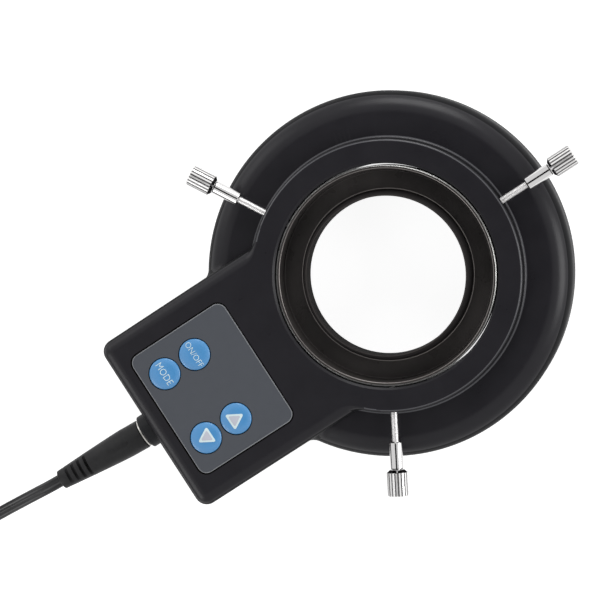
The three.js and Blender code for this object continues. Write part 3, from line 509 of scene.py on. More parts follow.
tool_pitch = 0.22 * mm
tool_depth = 0.004 * mm
rings_per_scale = 6.3
adapter_finish = Finish("anodised adapter", linear(57, 54, 53), 0.3, specular=0.22)
rings = adapter_finish.node("ShaderNodeTexWave", wave_type="RINGS", rings_direction="Z")
rings.inputs["Scale"].default_value = 1 / (tool_pitch * rings_per_scale)
rings.inputs["Distortion"].default_value = 0.6
rings.inputs["Detail"].default_value = 2
adapter_finish.links.new(adapter_finish.coordinates((0, axis_y, 0)), rings.inputs["Vector"])
adapter_finish.bump(rings.outputs["Fac"], tool_depth)
adapter_finish.gloss(adapter_finish.noise(6 * mm), 0.04)
adapter_finish.shades(adapter_finish.noise(5 * mm, detail=4), 0.92, 1.08)
adapter_black = adapter_finish.material
nickel = plated("nickel plate", linear(206, 205, 205), 0.12)
knob_nickel = plated("nickel plate of the knobs", linear(214, 213, 212), 0.4)
thread_nickel = plated("nickel on the thread's flanks", linear(232, 231, 231), 0.5)
# Painted shade: darker nickel on the knob's cone, standing in for the dark housing that it reflects.
cone_nickel_painted_shade = plated("nickel of the knob's cone, painted shade", linear(140, 139, 140), 0.1)
# Painted shade: darker nickel on the flanks of the knurl's grooves.
groove_nickel_painted_shade = plated("nickel in the knurl's grooves, painted shade", linear(150, 149, 150), 0.3)
contact_nickel = plated("plug contact", linear(176, 174, 170), 0.35)
# Painted highlight: bright metal on the adapter's outer bevel draws the thin bright line round the adapter.
bare_edge_painted_highlight = plated("adapter bevel, painted highlight", linear(156, 156, 154), 0.3)
# Painted highlight: a lighter anodised colour on the wall's inner edge and the hub's foot, for the thin light
# lines there.
black_edge_painted_highlight = plated("anodised black, painted highlight on edges", linear(116, 112, 110), 0.35)
# Painted shade: a darker, matt copy of the anodised black for the hub's slope, which catches more light.
matt_hub_painted_shade = moulded("matt anodised hub, painted shade", linear(40, 38, 38), 0.7, specular=0.05)
# Painted shade: a darker, matt copy of the anodised black for the adapter's upright walls and for the label's
# recess.
matt_wall_painted_shade = moulded("matt anodised wall, painted shade", linear(22, 20, 19), 0.8, specular=0.05)
brass = plated("brass", linear(196, 164, 92), 0.3)
screw_steel = plated("zinc plated steel", linear(176, 178, 182), 0.3)
print("metals ready")

# %% Cord, board, lamps and window
cord_vinyl = Finish("cord vinyl", linear(22, 22, 24), 0.3, specular=0.4).vary(
    (0.8 * mm, 3, 0.01 * mm), (6 * mm, 3, 0.05), (4 * mm, 3, 0.1))
plug_vinyl = Finish("plug vinyl", linear(34, 34, 35), 0.5, specular=0.2).vary(
    (0.35 * mm, 3, 0.03 * mm), (3 * mm, 3, 0.06), (1.5 * mm, 4, 0.15))

board_finish = Finish("solder mask", linear(28, 92, 58), 0.35)
tracks = board_finish.node("ShaderNodeTexVoronoi", feature="DISTANCE_TO_EDGE")
tracks.inputs["Scale"].default_value = 1 / (3.2 * mm)
board_finish.links.new(board_finish.coordinates(), tracks.inputs["Vector"])
board_finish.shades(tracks.outputs["Distance"], 1.35, 0.9, 0.04, 0.07)
board_finish.bump(board_finish.ramp(tracks.outputs["Distance"], 1, 0, 0.03, 0.08), 0.03 * mm)
circuit_board = board_finish.material

lamp_finish = Finish("lamp epoxy", linear(238, 240, 236), 0.12)
lamp_finish.set({"Subsurface Weight": 0.3, "Subsurface Radius": (1.5 * mm, 1.5 * mm, 1.4 * mm),
                 "Subsurface Scale": 1.0})
lamp_finish.shades(lamp_finish.noise(2 * mm), 0.94, 1.0)
lamp_epoxy = lamp_finish.material

window_finish = Finish("clear window", linear(246, 249, 250), 0.03)
window_finish.set({"Transmission Weight": 1.0, "IOR": 1.49})
window_finish.gloss(window_finish.noise(14 * mm), 0.02)
window_plastic = window_finish.material
print("cord, board, lamp and window finishes ready")

# %% [markdown]
# ## Cord
# The supply cord is a flat twin cord of 1.39 m. The picture shows only its first few centimetres,
# so the rest is put away as for storage: a round coil in two layers, standing on its narrow edge
# just outside the view, held by a band, with the plug-in supply beside it. The stretches before and
# after the coil run through listed points, and the coil follows a formula.

# %% Route of the cord
cord_width = 3.6 * mm
cord_thickness = 1.8 * mm
loose_fit = 0.3 * mm
contact_skew = math.radians(1.8)
plug_skew = math.radians(3.4)
plug_length = 27.9 * mm
plug_direction = Vector((-math.sin(plug_skew), -math.cos(plug_skew), 0))
plug_face = place(0, -jack_mouth - loose_fit, jack_height)
cord_exit = plug_face + plug_direction * (plug_length + loose_fit)
supply_low, supply_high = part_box("supply_base")
relief_low, relief_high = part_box("supply_relief")
supply_middle = (supply_low.y + supply_high.y) / 2 - axis_y
supply_cord_height = (relief_low.z + relief_high.z) / 2

free_route = [
    (-2.3, -119.5, 12.9), (-2.8, -125.5, 10.7), (-3.25, -131.5, 7.9),
    (-3.6, -137.5, 5.4), (-3.3, -143.5, 3.9), (-2, -149.5, 3.1),
]
tail_route = [
    (-37, -187.3, 6.6), (-43, -190.4, 4.6), (-46.6, -195.6, 2.9), (-46.3, -201.6, 2.4),
    (-42.4, -206.3, 3.2), (-36, -208.6, 5.6), (-29.5, -209, 8.2),
]
coil_centre = (-27.5 * mm, -160 * mm)
coil_inner = 13.6 * mm
coil_pitch = 2.45 * mm
coil_turns = 10.25
coil_low = 2.9 * mm
layer_rise = 4.2 * mm
climb_turns = 0.5
turnaround_turns = 0.06
loop_steps = 48
route_steps = 6


def smoothstep(value, low, high):
    share = min(max((value - low) / (high - low), 0), 1)
    return share * share * (3 - 2 * share)


def coil_point(turns):
    """The coil winds in on its lower layer and out again on the upper one."""
    half = coil_turns / 2
    radius = coil_inner + coil_pitch * math.hypot(turns - half, turnaround_turns)
    climb = smoothstep(turns, half - climb_turns / 2, half + climb_turns / 2)
    angle = -turns * math.tau
    return place(coil_centre[0] + radius * math.cos(angle), coil_centre[1] + radius * math.sin(angle),
                 coil_low + layer_rise * climb)


def through(points, steps):
    """A smooth curve through points, with steps points on each stretch."""
    ends = [2 * points[0] - points[1], *points, 2 * points[-1] - points[-2]]
    curve = []
    for a, b, c, d in zip(ends, ends[1:], ends[2:], ends[3:]):
        k0 = 0
        k1 = k0 + math.sqrt((b - a).length)
        k2 = k1 + math.sqrt((c - b).length)
        k3 = k2 + math.sqrt((d - c).length)
        for i in range(steps):
            t = k1 + (k2 - k1) * i / steps
            ab = a.lerp(b, (t - k0) / (k1 - k0))
            bc = b.lerp(c, (t - k1) / (k2 - k1))
            cd = c.lerp(d, (t - k2) / (k3 - k2))
            abc = ab.lerp(bc, (t - k0) / (k2 - k0))
            bcd = bc.lerp(cd, (t - k1) / (k3 - k1))
            curve.append(abc.lerp(bcd, (t - k1) / (k2 - k1)))
    return curve


def at_route(route):
    return [place(x * mm, y * mm, z * mm) for x, y, z in route]


loop_count = round(coil_turns * loop_steps)
loops = [coil_point(i * coil_turns / loop_count) for i in range(loop_count + 1)]
coil_entry = loops[0] + Vector((0, cord_width, 0))
coil_leave = loops[-1] + Vector((-cord_width, 0, 0))
cord_inlet = place(relief_low.x - loose_fit, supply_middle, supply_cord_height)
free_points = through(
    [cord_exit, cord_exit + plug_direction * cord_width, *at_route(free_route), coil_entry],
    route_steps)
tail_points = through([coil_leave, *at_route(tail_route), cord_inlet], route_steps)
cord_path = [*free_points, coil_entry, *loops, *tail_points, cord_inlet]

# %% [markdown]
# Two round cores lie side by side in one jacket with a groove between them. The cord leaves the plug
# lying flat and turns onto its edge on its way to the coil, so the section is set on each
# point of the route, across the way that the cord runs.

# %% Twin cord
core_radius = cord_thickness / 2
core_offset = (cord_width - cord_thickness) / 2
core_angle = 140
groove_depth = 0.42 * mm


def twin_section():
    """The outline of both cores, with x across the width and y across the thickness."""
    right = arc(core_offset, 0, core_radius, -core_angle, core_angle, 10)
    left = [(-x, -y) for x, y in right]
    groove = core_radius - groove_depth
    return [*right, (0, groove), *left, (0, -groove)]


def cord_tube(name, path, wide_at, section):
    net = bmesh.new()
    rings = []
    for i, point in enumerate(path):
        along = (path[min(i + 1, len(path) - 1)] - path[max(i - 1, 0)]).normalized()
        wide = wide_at(i)
        wide = (wide - along * wide.dot(along)).normalized()
        thin = along.cross(wide)
        rings.append([net.verts.new(point + wide * x + thin * y) for x, y in section])
    for ring, after in zip(rings, rings[1:]):
        for k in range(len(section)):
            n = (k + 1) % len(section)
            net.faces.new((ring[k], ring[n], after[n], after[k]))
    net.faces.new(list(reversed(rings[0])))
    net.faces.new(rings[-1])
    bmesh.ops.recalc_face_normals(net, faces=net.faces)
    mesh = bpy.data.meshes.new(name)
    net.to_mesh(mesh)
    net.free()
    piece = bpy.data.objects.new(name, mesh)
    bpy.context.scene.collection.objects.link(piece)
    return piece


def cord_lies(i):
    """Flat as it leaves the plug, on edge where it reaches the coil."""
    return Vector((1, 0, 0)).lerp(up(1), smoothstep(i / len(free_points), 0.5, 1))


cord = cord_tube("supply_cord", cord_path, cord_lies, twin_section())
finish(cord, cord_vinyl, "cord_vinyl", "cord_free", "cord_coil", "cord_tail", sharp=60, weighted=False)

# %% [markdown]
# ## Housing
# The shell is one moulding: a round body with a well rounded rim, and on it the raised keyhole of
# clamp collar and control box. The body is turned. The keyhole is an outline that is extruded and
# bevelled, strongly on the box and hardly on the collar, so its edges carry bevel weights. Where the
# rim runs into the sides of the box, the mould leaves a soft corner, which is lofted level by level.

# %% Sizes of the housing
deck_height = 19 * mm
rim_rounding = 6.3 * mm
foot_chamfer = 0.6 * mm
collar_radius = 38 * mm
tube_radius = 31.5 * mm
tube_wall = 3 * mm
mouth_chamfer = 0.6 * mm
bore_lip = 0.4 * mm
rim_wall = 2.6 * mm
deck_wall = 2.4 * mm
box_half_width = 27 * mm
box_corner = 3.5 * mm
box_wall = 2.4 * mm
box_rounding = 3.4 * mm
box_foot_rounding = 0.8 * mm
collar_share = 0.25
collar_steps = 150
foot_fillet = 0.8 * mm
neck_fillet = 4 * mm
rim_fillet = 4 * mm
overrun = mm
mouth_radius = tube_radius - bore_lip
channel_inner = tube_radius + tube_wall
channel_outer = ring_radius - rim_wall
window_ledge = mm
window_top = window_high.z
roof_underside = plateau_height - box_wall

fillet_x = box_half_width + neck_fillet
fillet_y = -math.sqrt((collar_radius + neck_fillet) ** 2 - fillet_x ** 2)
fillet_meets = math.degrees(math.atan2(fillet_y, fillet_x))
fillet_end = fillet_y * collar_radius / (collar_radius + neck_fillet)


# %% Keyhole of collar and box
def keyhole_outline():
    side = arc(box_half_width - box_corner, box_corner - box_end, box_corner, -90, 0, 8)
    neck = arc(fillet_x, fillet_y, neck_fillet, 180, 180 + fillet_meets, 10)
    collar = arc(0, 0, collar_radius, fillet_meets, 180 - fillet_meets, collar_steps)[1:-1]
    mirrored = [(-x, y) for x, y in reversed(side + neck)]
    return side + neck + collar + mirrored


def edge_rounding(edge):
    """Full on the box's upper edge, slight on the collar's, and small round the foot."""
    if any(abs(v.co.z - edge.verts[0].co.z) > fine for v in edge.verts):
        return 0
    if edge.verts[0].co.z < plateau_height - fine:
        return box_foot_rounding / box_rounding
    share = (middle(edge).y - fillet_y) / (fillet_end - fillet_y)
    return 1 + (collar_share - 1) * min(max(share, 0), 1)


shell = plate("housing_shell", keyhole_outline(), box_underside, plateau_height)
with edit(shell, "EDGE"):
    net = bmesh.from_edit_mesh(shell.data)
    weights = net.edges.layers.float.new("bevel_weight_edge")
    for edge in net.edges:
        edge[weights] = edge_rounding(edge)
    bmesh.update_edit_mesh(shell.data)
apply(shell, "BEVEL", width=box_rounding, segments=8, limit_method="WEIGHT", use_clamp_overlap=False)
print("keyhole:", len(shell.data.polygons), "faces")


# %% Round body and the corners beside the box
def loft(name, levels):
    """Closed outlines over each other, bridged and closed at both ends."""
    piece = join(name, [wire(name, level + level[:1]) for level in levels])
    with edit(piece, "EDGE"):
        bpy.ops.mesh.remove_doubles(threshold=fine)
        bpy.ops.mesh.bridge_edge_loops()
        for level in (levels[0], levels[-1]):
            height = level[0].z
            pick(piece, "edges", lambda e: all(abs(v.co.z - height) < fine for v in e.verts))
            bpy.ops.mesh.edge_face_add()
        weld()
    return piece


def rim_corner(side):
    profile = [(ring_radius, box_underside + box_foot_rounding)]
    profile += arc(ring_radius - rim_rounding, deck_height - rim_rounding, rim_rounding, 0, 90, 12)
    corner_x = box_half_width + rim_fillet
    levels = []
    for rim, height in profile:
        corner_y = -math.sqrt((rim + rim_fillet) ** 2 - corner_x ** 2)
        meets = math.degrees(math.atan2(corner_y, corner_x))
        curve = arc(corner_x, corner_y, rim_fillet, 180, 180 + meets, 10)
        inward = (rim - rim_wall) / rim
        inner = (curve[-1][0] * inward, curve[-1][1] * inward)
        outline = [(box_half_width - box_wall, corner_y), *curve, inner]
        levels.append([Vector((side * x, y, height)) for x, y in outline])
    return loft("rim_corner", levels)


body = turned("round_body", [
    (0, 0), (ring_radius - foot_chamfer, 0), (ring_radius, foot_chamfer),
    (ring_radius, deck_height, rim_rounding), (0, deck_height)], steps=ring_steps, round_steps=12)
combine(shell, body, "UNION")
foot_inner, foot_outer = collar_radius - overrun, collar_radius + foot_fillet
foot_low, foot_high = deck_height - overrun, deck_height + foot_fillet
combine(shell, turned("collar_foot", [
    (foot_inner, foot_low), (foot_outer, foot_low),
    *arc(foot_outer, foot_high, foot_fillet, 270, 180, 6), (foot_inner, foot_high)],
    steps=ring_steps, closed=True), "UNION")
for side in (1, -1):
    combine(shell, rim_corner(side), "UNION")
print("outside of the housing:", len(shell.data.polygons), "faces")

# %% [markdown]
# The hollows are cut last: the way for the microscope's nose, the channel of the lamps with the
# rebate of its window, the room in the control box, the recess of the keypad label, and the holes
# for buttons, socket and thumbscrews. Posts for the screws hang from the roofs.

# %% Hollows of the housing
lens_way = turned("lens_way", [
    (0, -overrun), (mouth_radius, -overrun), (mouth_radius, plateau_height - mouth_chamfer),
    (mouth_radius + mouth_chamfer + overrun, plateau_height + overrun),
    (0, plateau_height + overrun)], steps=ring_steps)
lamp_channel = turned("lamp_channel", [
    (channel_inner - window_ledge, -overrun), (channel_outer + window_ledge, -overrun),
    (channel_outer + window_ledge, window_top), (channel_outer, window_top),
    (channel_outer, deck_height - deck_wall), (channel_inner, deck_height - deck_wall),
    (channel_inner, window_top), (channel_inner - window_ledge, window_top)], steps=ring_steps, closed=True)


def box_space(name, wall, low, high):
    """The inside of the control box, with walls of one thickness."""
    half = box_half_width - wall
    return slab(name, (-half, wall - box_end, low), (half, 0, high), box_corner - wall)


cover_ledge = 1.2 * mm
box_room = box_space("box_room", box_wall, box_underside, roof_underside)
combine(box_room, box_space("cover_room", cover_ledge, box_underside - overrun, cover_top), "UNION")
drill(box_room, ring_radius, up(0), -overrun, plateau_height, ring_steps)
cut(shell, lens_way, lamp_channel, box_room)
print("hollowed housing:", len(shell.data.polygons), "faces")

# %% Recess, holes and posts
close_fit = 0.15 * mm
label_gap = 0.35 * mm
label_recess = 0.7 * mm
label_corner = 3.1 * mm
button_radius = 4.5 * mm
screw_angles = (90, 210, 330)
screw_height = (deck_height + plateau_height) / 2
insert_reach = 5.25 * mm
insert_radius = 1.75 * mm
thread_way_radius = 1.3 * mm
lead_height = 14.9 * mm
passage_wide, passage_high = 2.4 * mm, 1.3 * mm
nose_radius = 3.9 * mm
small_hole = 0.95 * mm
large_hole = 1.15 * mm


def outward(angle):
    return Vector((math.cos(math.radians(angle)), math.sin(math.radians(angle)), 0))


button_names = ("button_on_off", "button_mode", "button_up", "button_down")
cut(shell, slab(
    "label_recess",
    (label_low.x - label_gap, label_low.y - label_gap - axis_y, plateau_height - label_recess),
    (label_high.x + label_gap, label_high.y + label_gap - axis_y, plateau_height + overrun),
    label_corner, steps=10))
for name in button_names:
    drill(shell, button_radius + close_fit, middle_of(name), roof_underside - overrun, plateau_height,
          steps=64)
cut(shell, rod("socket_hole", nose_radius + close_fit, Vector((0, box_wall + overrun - box_end, jack_height)),
               Vector((0, -box_end - overrun, jack_height)), steps=48))
cut(shell, slab("lead_passage", (-passage_wide, -ring_radius - overrun, lead_height - passage_high),
                (passage_wide, overrun - channel_outer, lead_height + passage_high)))
for angle in screw_angles:
    for radius, start, end in ((insert_radius, tube_radius - overrun, tube_radius + insert_reach),
                               (thread_way_radius, tube_radius, collar_radius + overrun)):
        cut(shell, rod("screw_way", radius, outward(angle) * start + up(screw_height),
                       outward(angle) * end + up(screw_height)))

# Each kind of screw has its number, its post's radius, foot and roof, and its hole's radius and depth.
posts = {
    "led_board_screw": (3, 2 * mm, 13.2 * mm, deck_height - deck_wall, small_hole, 4 * mm),
    "control_screw": (2, 2 * mm, 9.4 * mm, roof_underside, small_hole, 4 * mm),
    "cover_screw": (4, 2.6 * mm, cover_top, roof_underside, large_hole, 8 * mm),
}
for kind, (count, radius, foot, roof, hole, depth) in posts.items():
    for spot in spots(kind, count):
        post = rod("post", radius, spot + up(foot), spot + up(roof + overrun), steps=24)
        drill(post, hole, spot, foot - overrun, min(foot + depth, roof), steps=16)
        combine(shell, post, "UNION")
finish(about_axis(shell), housing_plastic, "housing_plastic", "ring_housing", sharp=32)


# %% Painted shade on side walls and in the label's recess, painted highlight on the collar's edges
edge_reach = 0.85 * mm


def painted_highlight_edges(face):
    """Where the collar's upper edge and the fillet at its foot run out into the flats; they get a painted
    highlight.
    """
    past, height = from_axis(face.center) - collar_radius, face.center.z
    on_collar = face.center.y - axis_y > fillet_end and -edge_reach < past < 0
    upper = on_collar and height > plateau_height - edge_reach
    foot = 0 < past < edge_reach and 0 < height - deck_height < edge_reach
    return leans(face, 0.85, 0.993) and (upper or foot)


def in_recess(face):
    x, y, z = face.center
    return (plateau_height - label_recess - fine < z < plateau_height - fine
            and label_low.x - label_corner < x < label_high.x + label_corner
            and label_low.y - label_gap - fine < y < label_high.y + label_gap + fine)


# Painted shade: the darker side-wall plastic on all upright faces.
touch(shell, side_plastic_painted_shade, lambda face: leans(face, -0.6, 0.6))
# Painted highlight on the collar's upper edge and on the fillet at its foot.
touch(shell, edge_plastic_painted_highlight, painted_highlight_edges)
# Painted shade: the label's recess gets the dark matt wall colour.
touch(shell, matt_wall_painted_shade, in_recess)

# %% [markdown]
# ## Adapter ring
# The microscope's nose screws into this ring, and the thumbscrews press into the groove round it.
# The real one is turned from aluminium bar and anodised. A lathe part is drawn as one section and
# spun, so its hub, its flange and its thin wall come out of the same line.

# %% Adapter ring
broken_edge = 0.12 * mm
adapter_outer = adapter_high.x
adapter_top = adapter_high.z
adapter_foot = adapter_low.z
adapter_edge = 0.32 * mm
adapter_edge_drop = 0.2 * mm
bore_radius = adapter_outer - 8.6 * mm
hub_radius = bore_radius + 0.8 * mm
hub_foot = bore_radius + 1.7 * mm
hub_edge = 0.4 * mm
hub_top = adapter_top - 0.4 * mm
flange_top = adapter_foot + 2.6 * mm
wall_top = adapter_outer - mm
wall_foot = adapter_outer - 1.5 * mm
clamp_groove = 0.5 * mm
clamp_groove_half = 0.7 * mm

adapter = turned("clamp_adapter", [
    (bore_radius, adapter_foot, broken_edge), (adapter_outer, adapter_foot, broken_edge),
    (adapter_outer, screw_height - clamp_groove_half), (adapter_outer - clamp_groove, screw_height),
    (adapter_outer, screw_height + clamp_groove_half), (adapter_outer, adapter_top - adapter_edge_drop),
    (adapter_outer - adapter_edge, adapter_top), (wall_top, adapter_top, 2 * broken_edge),
    (wall_foot, flange_top, 3 * broken_edge), (hub_foot, flange_top, 3 * broken_edge),
    (hub_radius, hub_top - hub_edge), (hub_radius - hub_edge, hub_top), (bore_radius, hub_top, broken_edge),
], steps=ring_steps, closed=True)
finish(about_axis(adapter), adapter_black, "adapter_black", "adapter_ring", sharp=25)


def in_bore_or_outside(face):
    """The upright faces of the bore, and of the outside with its groove for the screws; they get painted
    shade.
    """
    radius = from_axis(face.center)
    return leans(face, -0.65, 0.65) and not bore_radius + fine < radius < adapter_outer - clamp_groove


def on_bevel(face):
    """The bevel of the outer upper edge, which gets a painted highlight."""
    return (from_axis(face.center) > adapter_outer - adapter_edge
            and face.center.z > adapter_top - adapter_edge and leans(face, 0.7, 0.95))


def painted_highlight_lines(face):
    """The inner upper edge of the thin wall, and the fillet at the hub's foot; they get a painted highlight.
    """
    radius, height = from_axis(face.center), face.center.z
    top = abs(radius - wall_top) < 3 * broken_edge and height > adapter_top - 3 * broken_edge
    foot = abs(radius - hub_foot) < 3 * broken_edge and height < flange_top + 3 * broken_edge
    return leans(face, 0.1, 0.99) and (top or foot)


def on_hub(face):
    """The sloping side of the hub, which gets painted shade."""
    return from_axis(face.center) < hub_foot - 3 * broken_edge and leans(face, 0.1, 0.95)


# Painted shade on the bore and the outer wall.
touch(adapter, matt_wall_painted_shade, in_bore_or_outside)
# Painted highlight on the outer bevel.
touch(adapter, bare_edge_painted_highlight, on_bevel)
# Painted highlight on the wall's inner edge and the hub's foot.
touch(adapter, black_edge_painted_highlight, painted_highlight_lines)
# Painted shade on the hub's slope.
touch(adapter, matt_hub_painted_shade, on_hub)

# %% [markdown]
# ## Keypad
# A grey film lies in a shallow recess of the box, and four blue caps stand out of its holes. The
# film is a thin slab with rounded corners. Its upper edges are broken a little, because that is what
# draws the thin light line round it in the photograph; the broken edge also carries a lighter colour,
# a painted highlight.

# %% Keypad film
film_corner = label_corner - label_gap
film_top = label_high.z
film_edge_size = 0.28 * mm


def in_hole(edge):
    return any((middle(edge) - middle_of(name)).xy.length < button_radius + mm for name in button_names)


film = slab("keypad_film", (label_low.x, label_low.y - axis_y, label_low.z),
            (label_high.x, label_high.y - axis_y, film_top), film_corner, steps=10)
for name in button_names:
    drill(film, button_radius + close_fit, middle_of(name), label_low.z - overrun, film_top + overrun,
          steps=64)
soften(film, film_edge_size, lambda e: sharp_at(film_top)(e) and not in_hole(e), steps=2)
finish(about_axis(film), label_film, "label_film", "keypad_label")
# Painted highlight on the film's broken upper edge.
touch(film, film_edge_painted_highlight, lambda face: leans(face, 0.05, 0.97))

# %% [markdown]
# A cap is a small turned form: a stem that works the switch, a flange that keeps it in its hole, and
# a top that is nearly flat and falls off towards its edge. One is modelled, and four copies ride on
# the four keys.

# %% Button caps
button_low, button_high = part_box("button_on_off")
cap_top = button_high.z
cap_dome = 0.55 * mm
cap_edge = 0.75 * mm
flange_thickness = 0.8 * mm
flange_radius = (button_high.x - button_low.x) / 2
flange_high = roof_underside - close_fit
flange_low = flange_high - flange_thickness
stem_radius = 1.6 * mm


def dome(radius):
    """Height of a cap's top; it falls with the fourth power of the radius."""
    return cap_top - cap_dome * (radius / button_radius) ** 4


def dome_profile(radius, lift, steps=12):
    """The top from its edge to its middle."""
    radii = [radius * (steps - i) / steps for i in range(1, steps + 1)]
    return [(r, dome(r) + lift) for r in radii]


cap = turned("cap", [
    (0, button_low.z), (stem_radius, button_low.z, broken_edge), (stem_radius, flange_low),
    (flange_radius, flange_low, broken_edge), (flange_radius, flange_high), (button_radius, flange_high),
    (button_radius, dome(button_radius), cap_edge), *dome_profile(button_radius, 0)], steps=96)
for name in button_names:
    key_cap = about_axis(copied(cap, name.replace("button", "cap")), middle_of(name))
    finish(key_cap, button_blue, "button_blue", name, body=name.removeprefix("button_") + "_key", sharp=40)
bpy.data.objects.remove(cap)

# %% [markdown]
# The caps are printed with ON/OFF, MODE and two arrows. A print follows the cap it lies on, so each
# one is a flat outline, drawn out to a prism, of which only what lies inside a slightly raised copy
# of the cap's top is kept.

# %% Prints
print_lift = 0.05 * mm
print_depth = 0.3 * mm
print_reach = 4.3 * mm
letter_weight = -0.012


def printed(piece, which, material, lift=print_lift):
    """Keeps what lies under the raised top, and lays it on its cap."""
    top = turned("raised_top", [
        (0, cap_top - 2 * print_depth), (print_reach, cap_top - 2 * print_depth),
        (print_reach, dome(print_reach) + lift), *dome_profile(print_reach, lift)], steps=96)
    combine(piece, top, "INTERSECT")
    about_axis(piece, middle_of(f"button_{which}"))
    return finish(piece, material, "label_film", body=f"{which}_key", sharp=30, weighted=False)


def words(text):
    bpy.ops.object.select_all(action="DESELECT")
    bpy.ops.object.text_add(location=(0, 0, 0))
    line = bpy.context.object
    line.data.body = text
    line.data.extrude = 0.5
    line.data.resolution_u = 6
    line.data.offset = letter_weight
    only(line)
    bpy.ops.object.convert(target="MESH")
    piece = named("print")
    with edit(piece):
        weld()
    return piece


def span(piece, axis):
    values = [v.co[axis] for v in piece.data.vertices]
    return min(values), max(values)


def lettering(text, width, capital):
    """Text as a prism round the origin, of that width and with capitals of that height."""
    letter = words("E")
    upward = capital / span(letter, 1)[1]
    bpy.data.objects.remove(letter)
    piece = words(text)
    left, right = span(piece, 0)
    across = width / (right - left)
    return moved(piece, Matrix.Translation((-across * (left + right) / 2, -capital / 2, cap_top))
                 @ Matrix.Diagonal((across, upward, 2 * print_depth, 1)))


for which, text, width, capital in (("on_off", "ON/OFF", 7.7 * mm, 1.6 * mm),
                                    ("mode", "MODE", 6.66 * mm, 1.9 * mm)):
    printed(lettering(text, width, capital), which, letter_white).name = f"print_{which}"

# %% Arrows
arrow_points = {
    "up": ((0.03, 2.19), (-2.18, -1.76), (2.24, -1.67)),
    "down": ((-2.24, 1.67), (-0.14, -2.05), (2.03, 1.72)),
}
arrow_inside = 0.66
fill_lift = 1.6 * print_lift
before_rounding = 1.2
arrow_corner = 0.8 * mm

for way, points in arrow_points.items():
    rounded = [Vector(point) * mm for point in points]
    centre = sum(rounded, Vector((0, 0))) / 3
    corners = [centre.lerp(corner, before_rounding) for corner in rounded]
    for part, share, material, lift in (("border", 1, letter_white, print_lift),
                                        ("fill", arrow_inside, arrow_fill, fill_lift)):
        outline = [centre.lerp(corner, share) for corner in corners]
        piece = plate(f"arrow_{part}_{way}", outline, cap_top - print_depth, cap_top + print_depth)
        soften(piece, arrow_corner * share, upright, steps=5)
        printed(piece, way, material, lift)

# %% [markdown]
# ## Socket and plug
# A black collar stands round the socket in the box's end wall. The plug's metal barrel goes in
# there, and its flange shows as a thin bright line. The plug is moulded round the cord's end: round
# at the collar, then flatter and narrower, with slots across its top and bottom that let it bend.

# %% Socket collar
nut_outer = nut_high.x
nut_bore = nose_radius + close_fit
nut_length = nut_high.y - nut_low.y
nut_edge = 0.4 * mm
lie_down = Matrix.Rotation(math.radians(90), 4, "X")
collar_piece = turned("socket_collar", [
    (nut_bore, 0), (nut_outer, 0), (nut_outer, nut_length, nut_edge), (nut_bore, nut_length, broken_edge)],
    steps=96, closed=True)
moved(collar_piece, Matrix.Translation(place(0, nut_length - jack_mouth, jack_height)) @ lie_down)
finish(collar_piece, cover_plastic, "component_black", "jack_nut")

# %% Plug
plug_radius = 4.2 * mm
plug_edge = 0.4 * mm
plug_end = (2.75 * mm, 2.2 * mm)
taper_start = 6 * mm
taper_power = 1.2
taper_steps = 16
slot_count, slot_pitch, slot_width = 4, 2.1 * mm, 0.9 * mm
slots_from_end = 2.6 * mm
slot_core = 1.7 * mm
barrel_flange = 0.35 * mm
ridge_start, ridge_end = 5.1 * mm, 10.4 * mm
ridge_half = 0.2 * mm
ridge_lift = 0.22 * mm


def at_socket(skew):
    """The place of a piece drawn along Z from the plug's face, turned aside by skew."""
    return Matrix.Translation(plug_face) @ Matrix.Rotation(-skew, 4, "Z") @ lie_down


def plug_half_sizes(along):
    """Half width and half height of the plug, at a distance from its face."""
    share = max(0, (along - taper_start) / (plug_length - taper_start)) ** taper_power
    return [plug_radius + (end - plug_radius) * share for end in plug_end]


def plug_oval(along, inset=0.0, sides=64):
    wide, high = plug_half_sizes(along)
    angles = [math.tau * i / sides for i in range(sides)]
    return [Vector(((wide - inset) * math.cos(a), (high - inset) * math.sin(a), along)) for a in angles]


taper_pitch = (plug_length - plug_edge - taper_start) / taper_steps
plug = loft("plug_moulding", [
    plug_oval(barrel_flange, plug_edge), plug_oval(barrel_flange + plug_edge / 3, plug_edge / 3),
    plug_oval(barrel_flange + plug_edge),
    *[plug_oval(taper_start + taper_pitch * i) for i in range(taper_steps + 1)],
    plug_oval(plug_length - plug_edge / 3, plug_edge / 3), plug_oval(plug_length, plug_edge)])
reach = plug_radius + overrun
for i in range(slot_count):
    along = plug_length - slots_from_end - i * slot_pitch
    for side in (slot_core, -reach):
        cut(plug, slab("slot", (-reach, side, along - slot_width), (reach, side + reach - slot_core, along)))


def ridge_rim(along):
    high = plug_half_sizes(along)[1]
    return [Vector((x, y, along)) for x, y in (
        (-ridge_half, high - ridge_half), (ridge_half, high - ridge_half),
        (ridge_half, high + ridge_lift), (-ridge_half, high + ridge_lift))]


combine(plug, loft("ridge", [ridge_rim(ridge_start), ridge_rim(ridge_end)]), "UNION")
moved(plug, at_socket(plug_skew))
finish(plug, plug_vinyl, "cord_vinyl", "plug_body", sharp=40)

contact_bore, contact_radius, contact_flange = 1.2 * mm, 2.75 * mm, 4 * mm
contact_length = 9.5 * mm
contact_edge = 0.3 * mm
contact = turned("plug_contact", [
    (contact_bore, -contact_length), (contact_radius, -contact_length, contact_edge), (contact_radius, 0),
    (contact_flange, 0), (contact_flange, barrel_flange), (contact_bore, barrel_flange)],
    steps=64, closed=True)
moved(contact, at_socket(contact_skew))
finish(contact, contact_nickel, "nickel", "plug_barrel")

# %% [markdown]
# ## Thumbscrews
# Three screws hold the adapter. Each is one turned stem, with a real thread of 0.4 mm pitch, a
# smooth shank and a spigot, and a knurled knob pressed onto it. The thread is one tooth of the
# section, swept round and up by the Screw modifier until its turns meet, and cut off square.

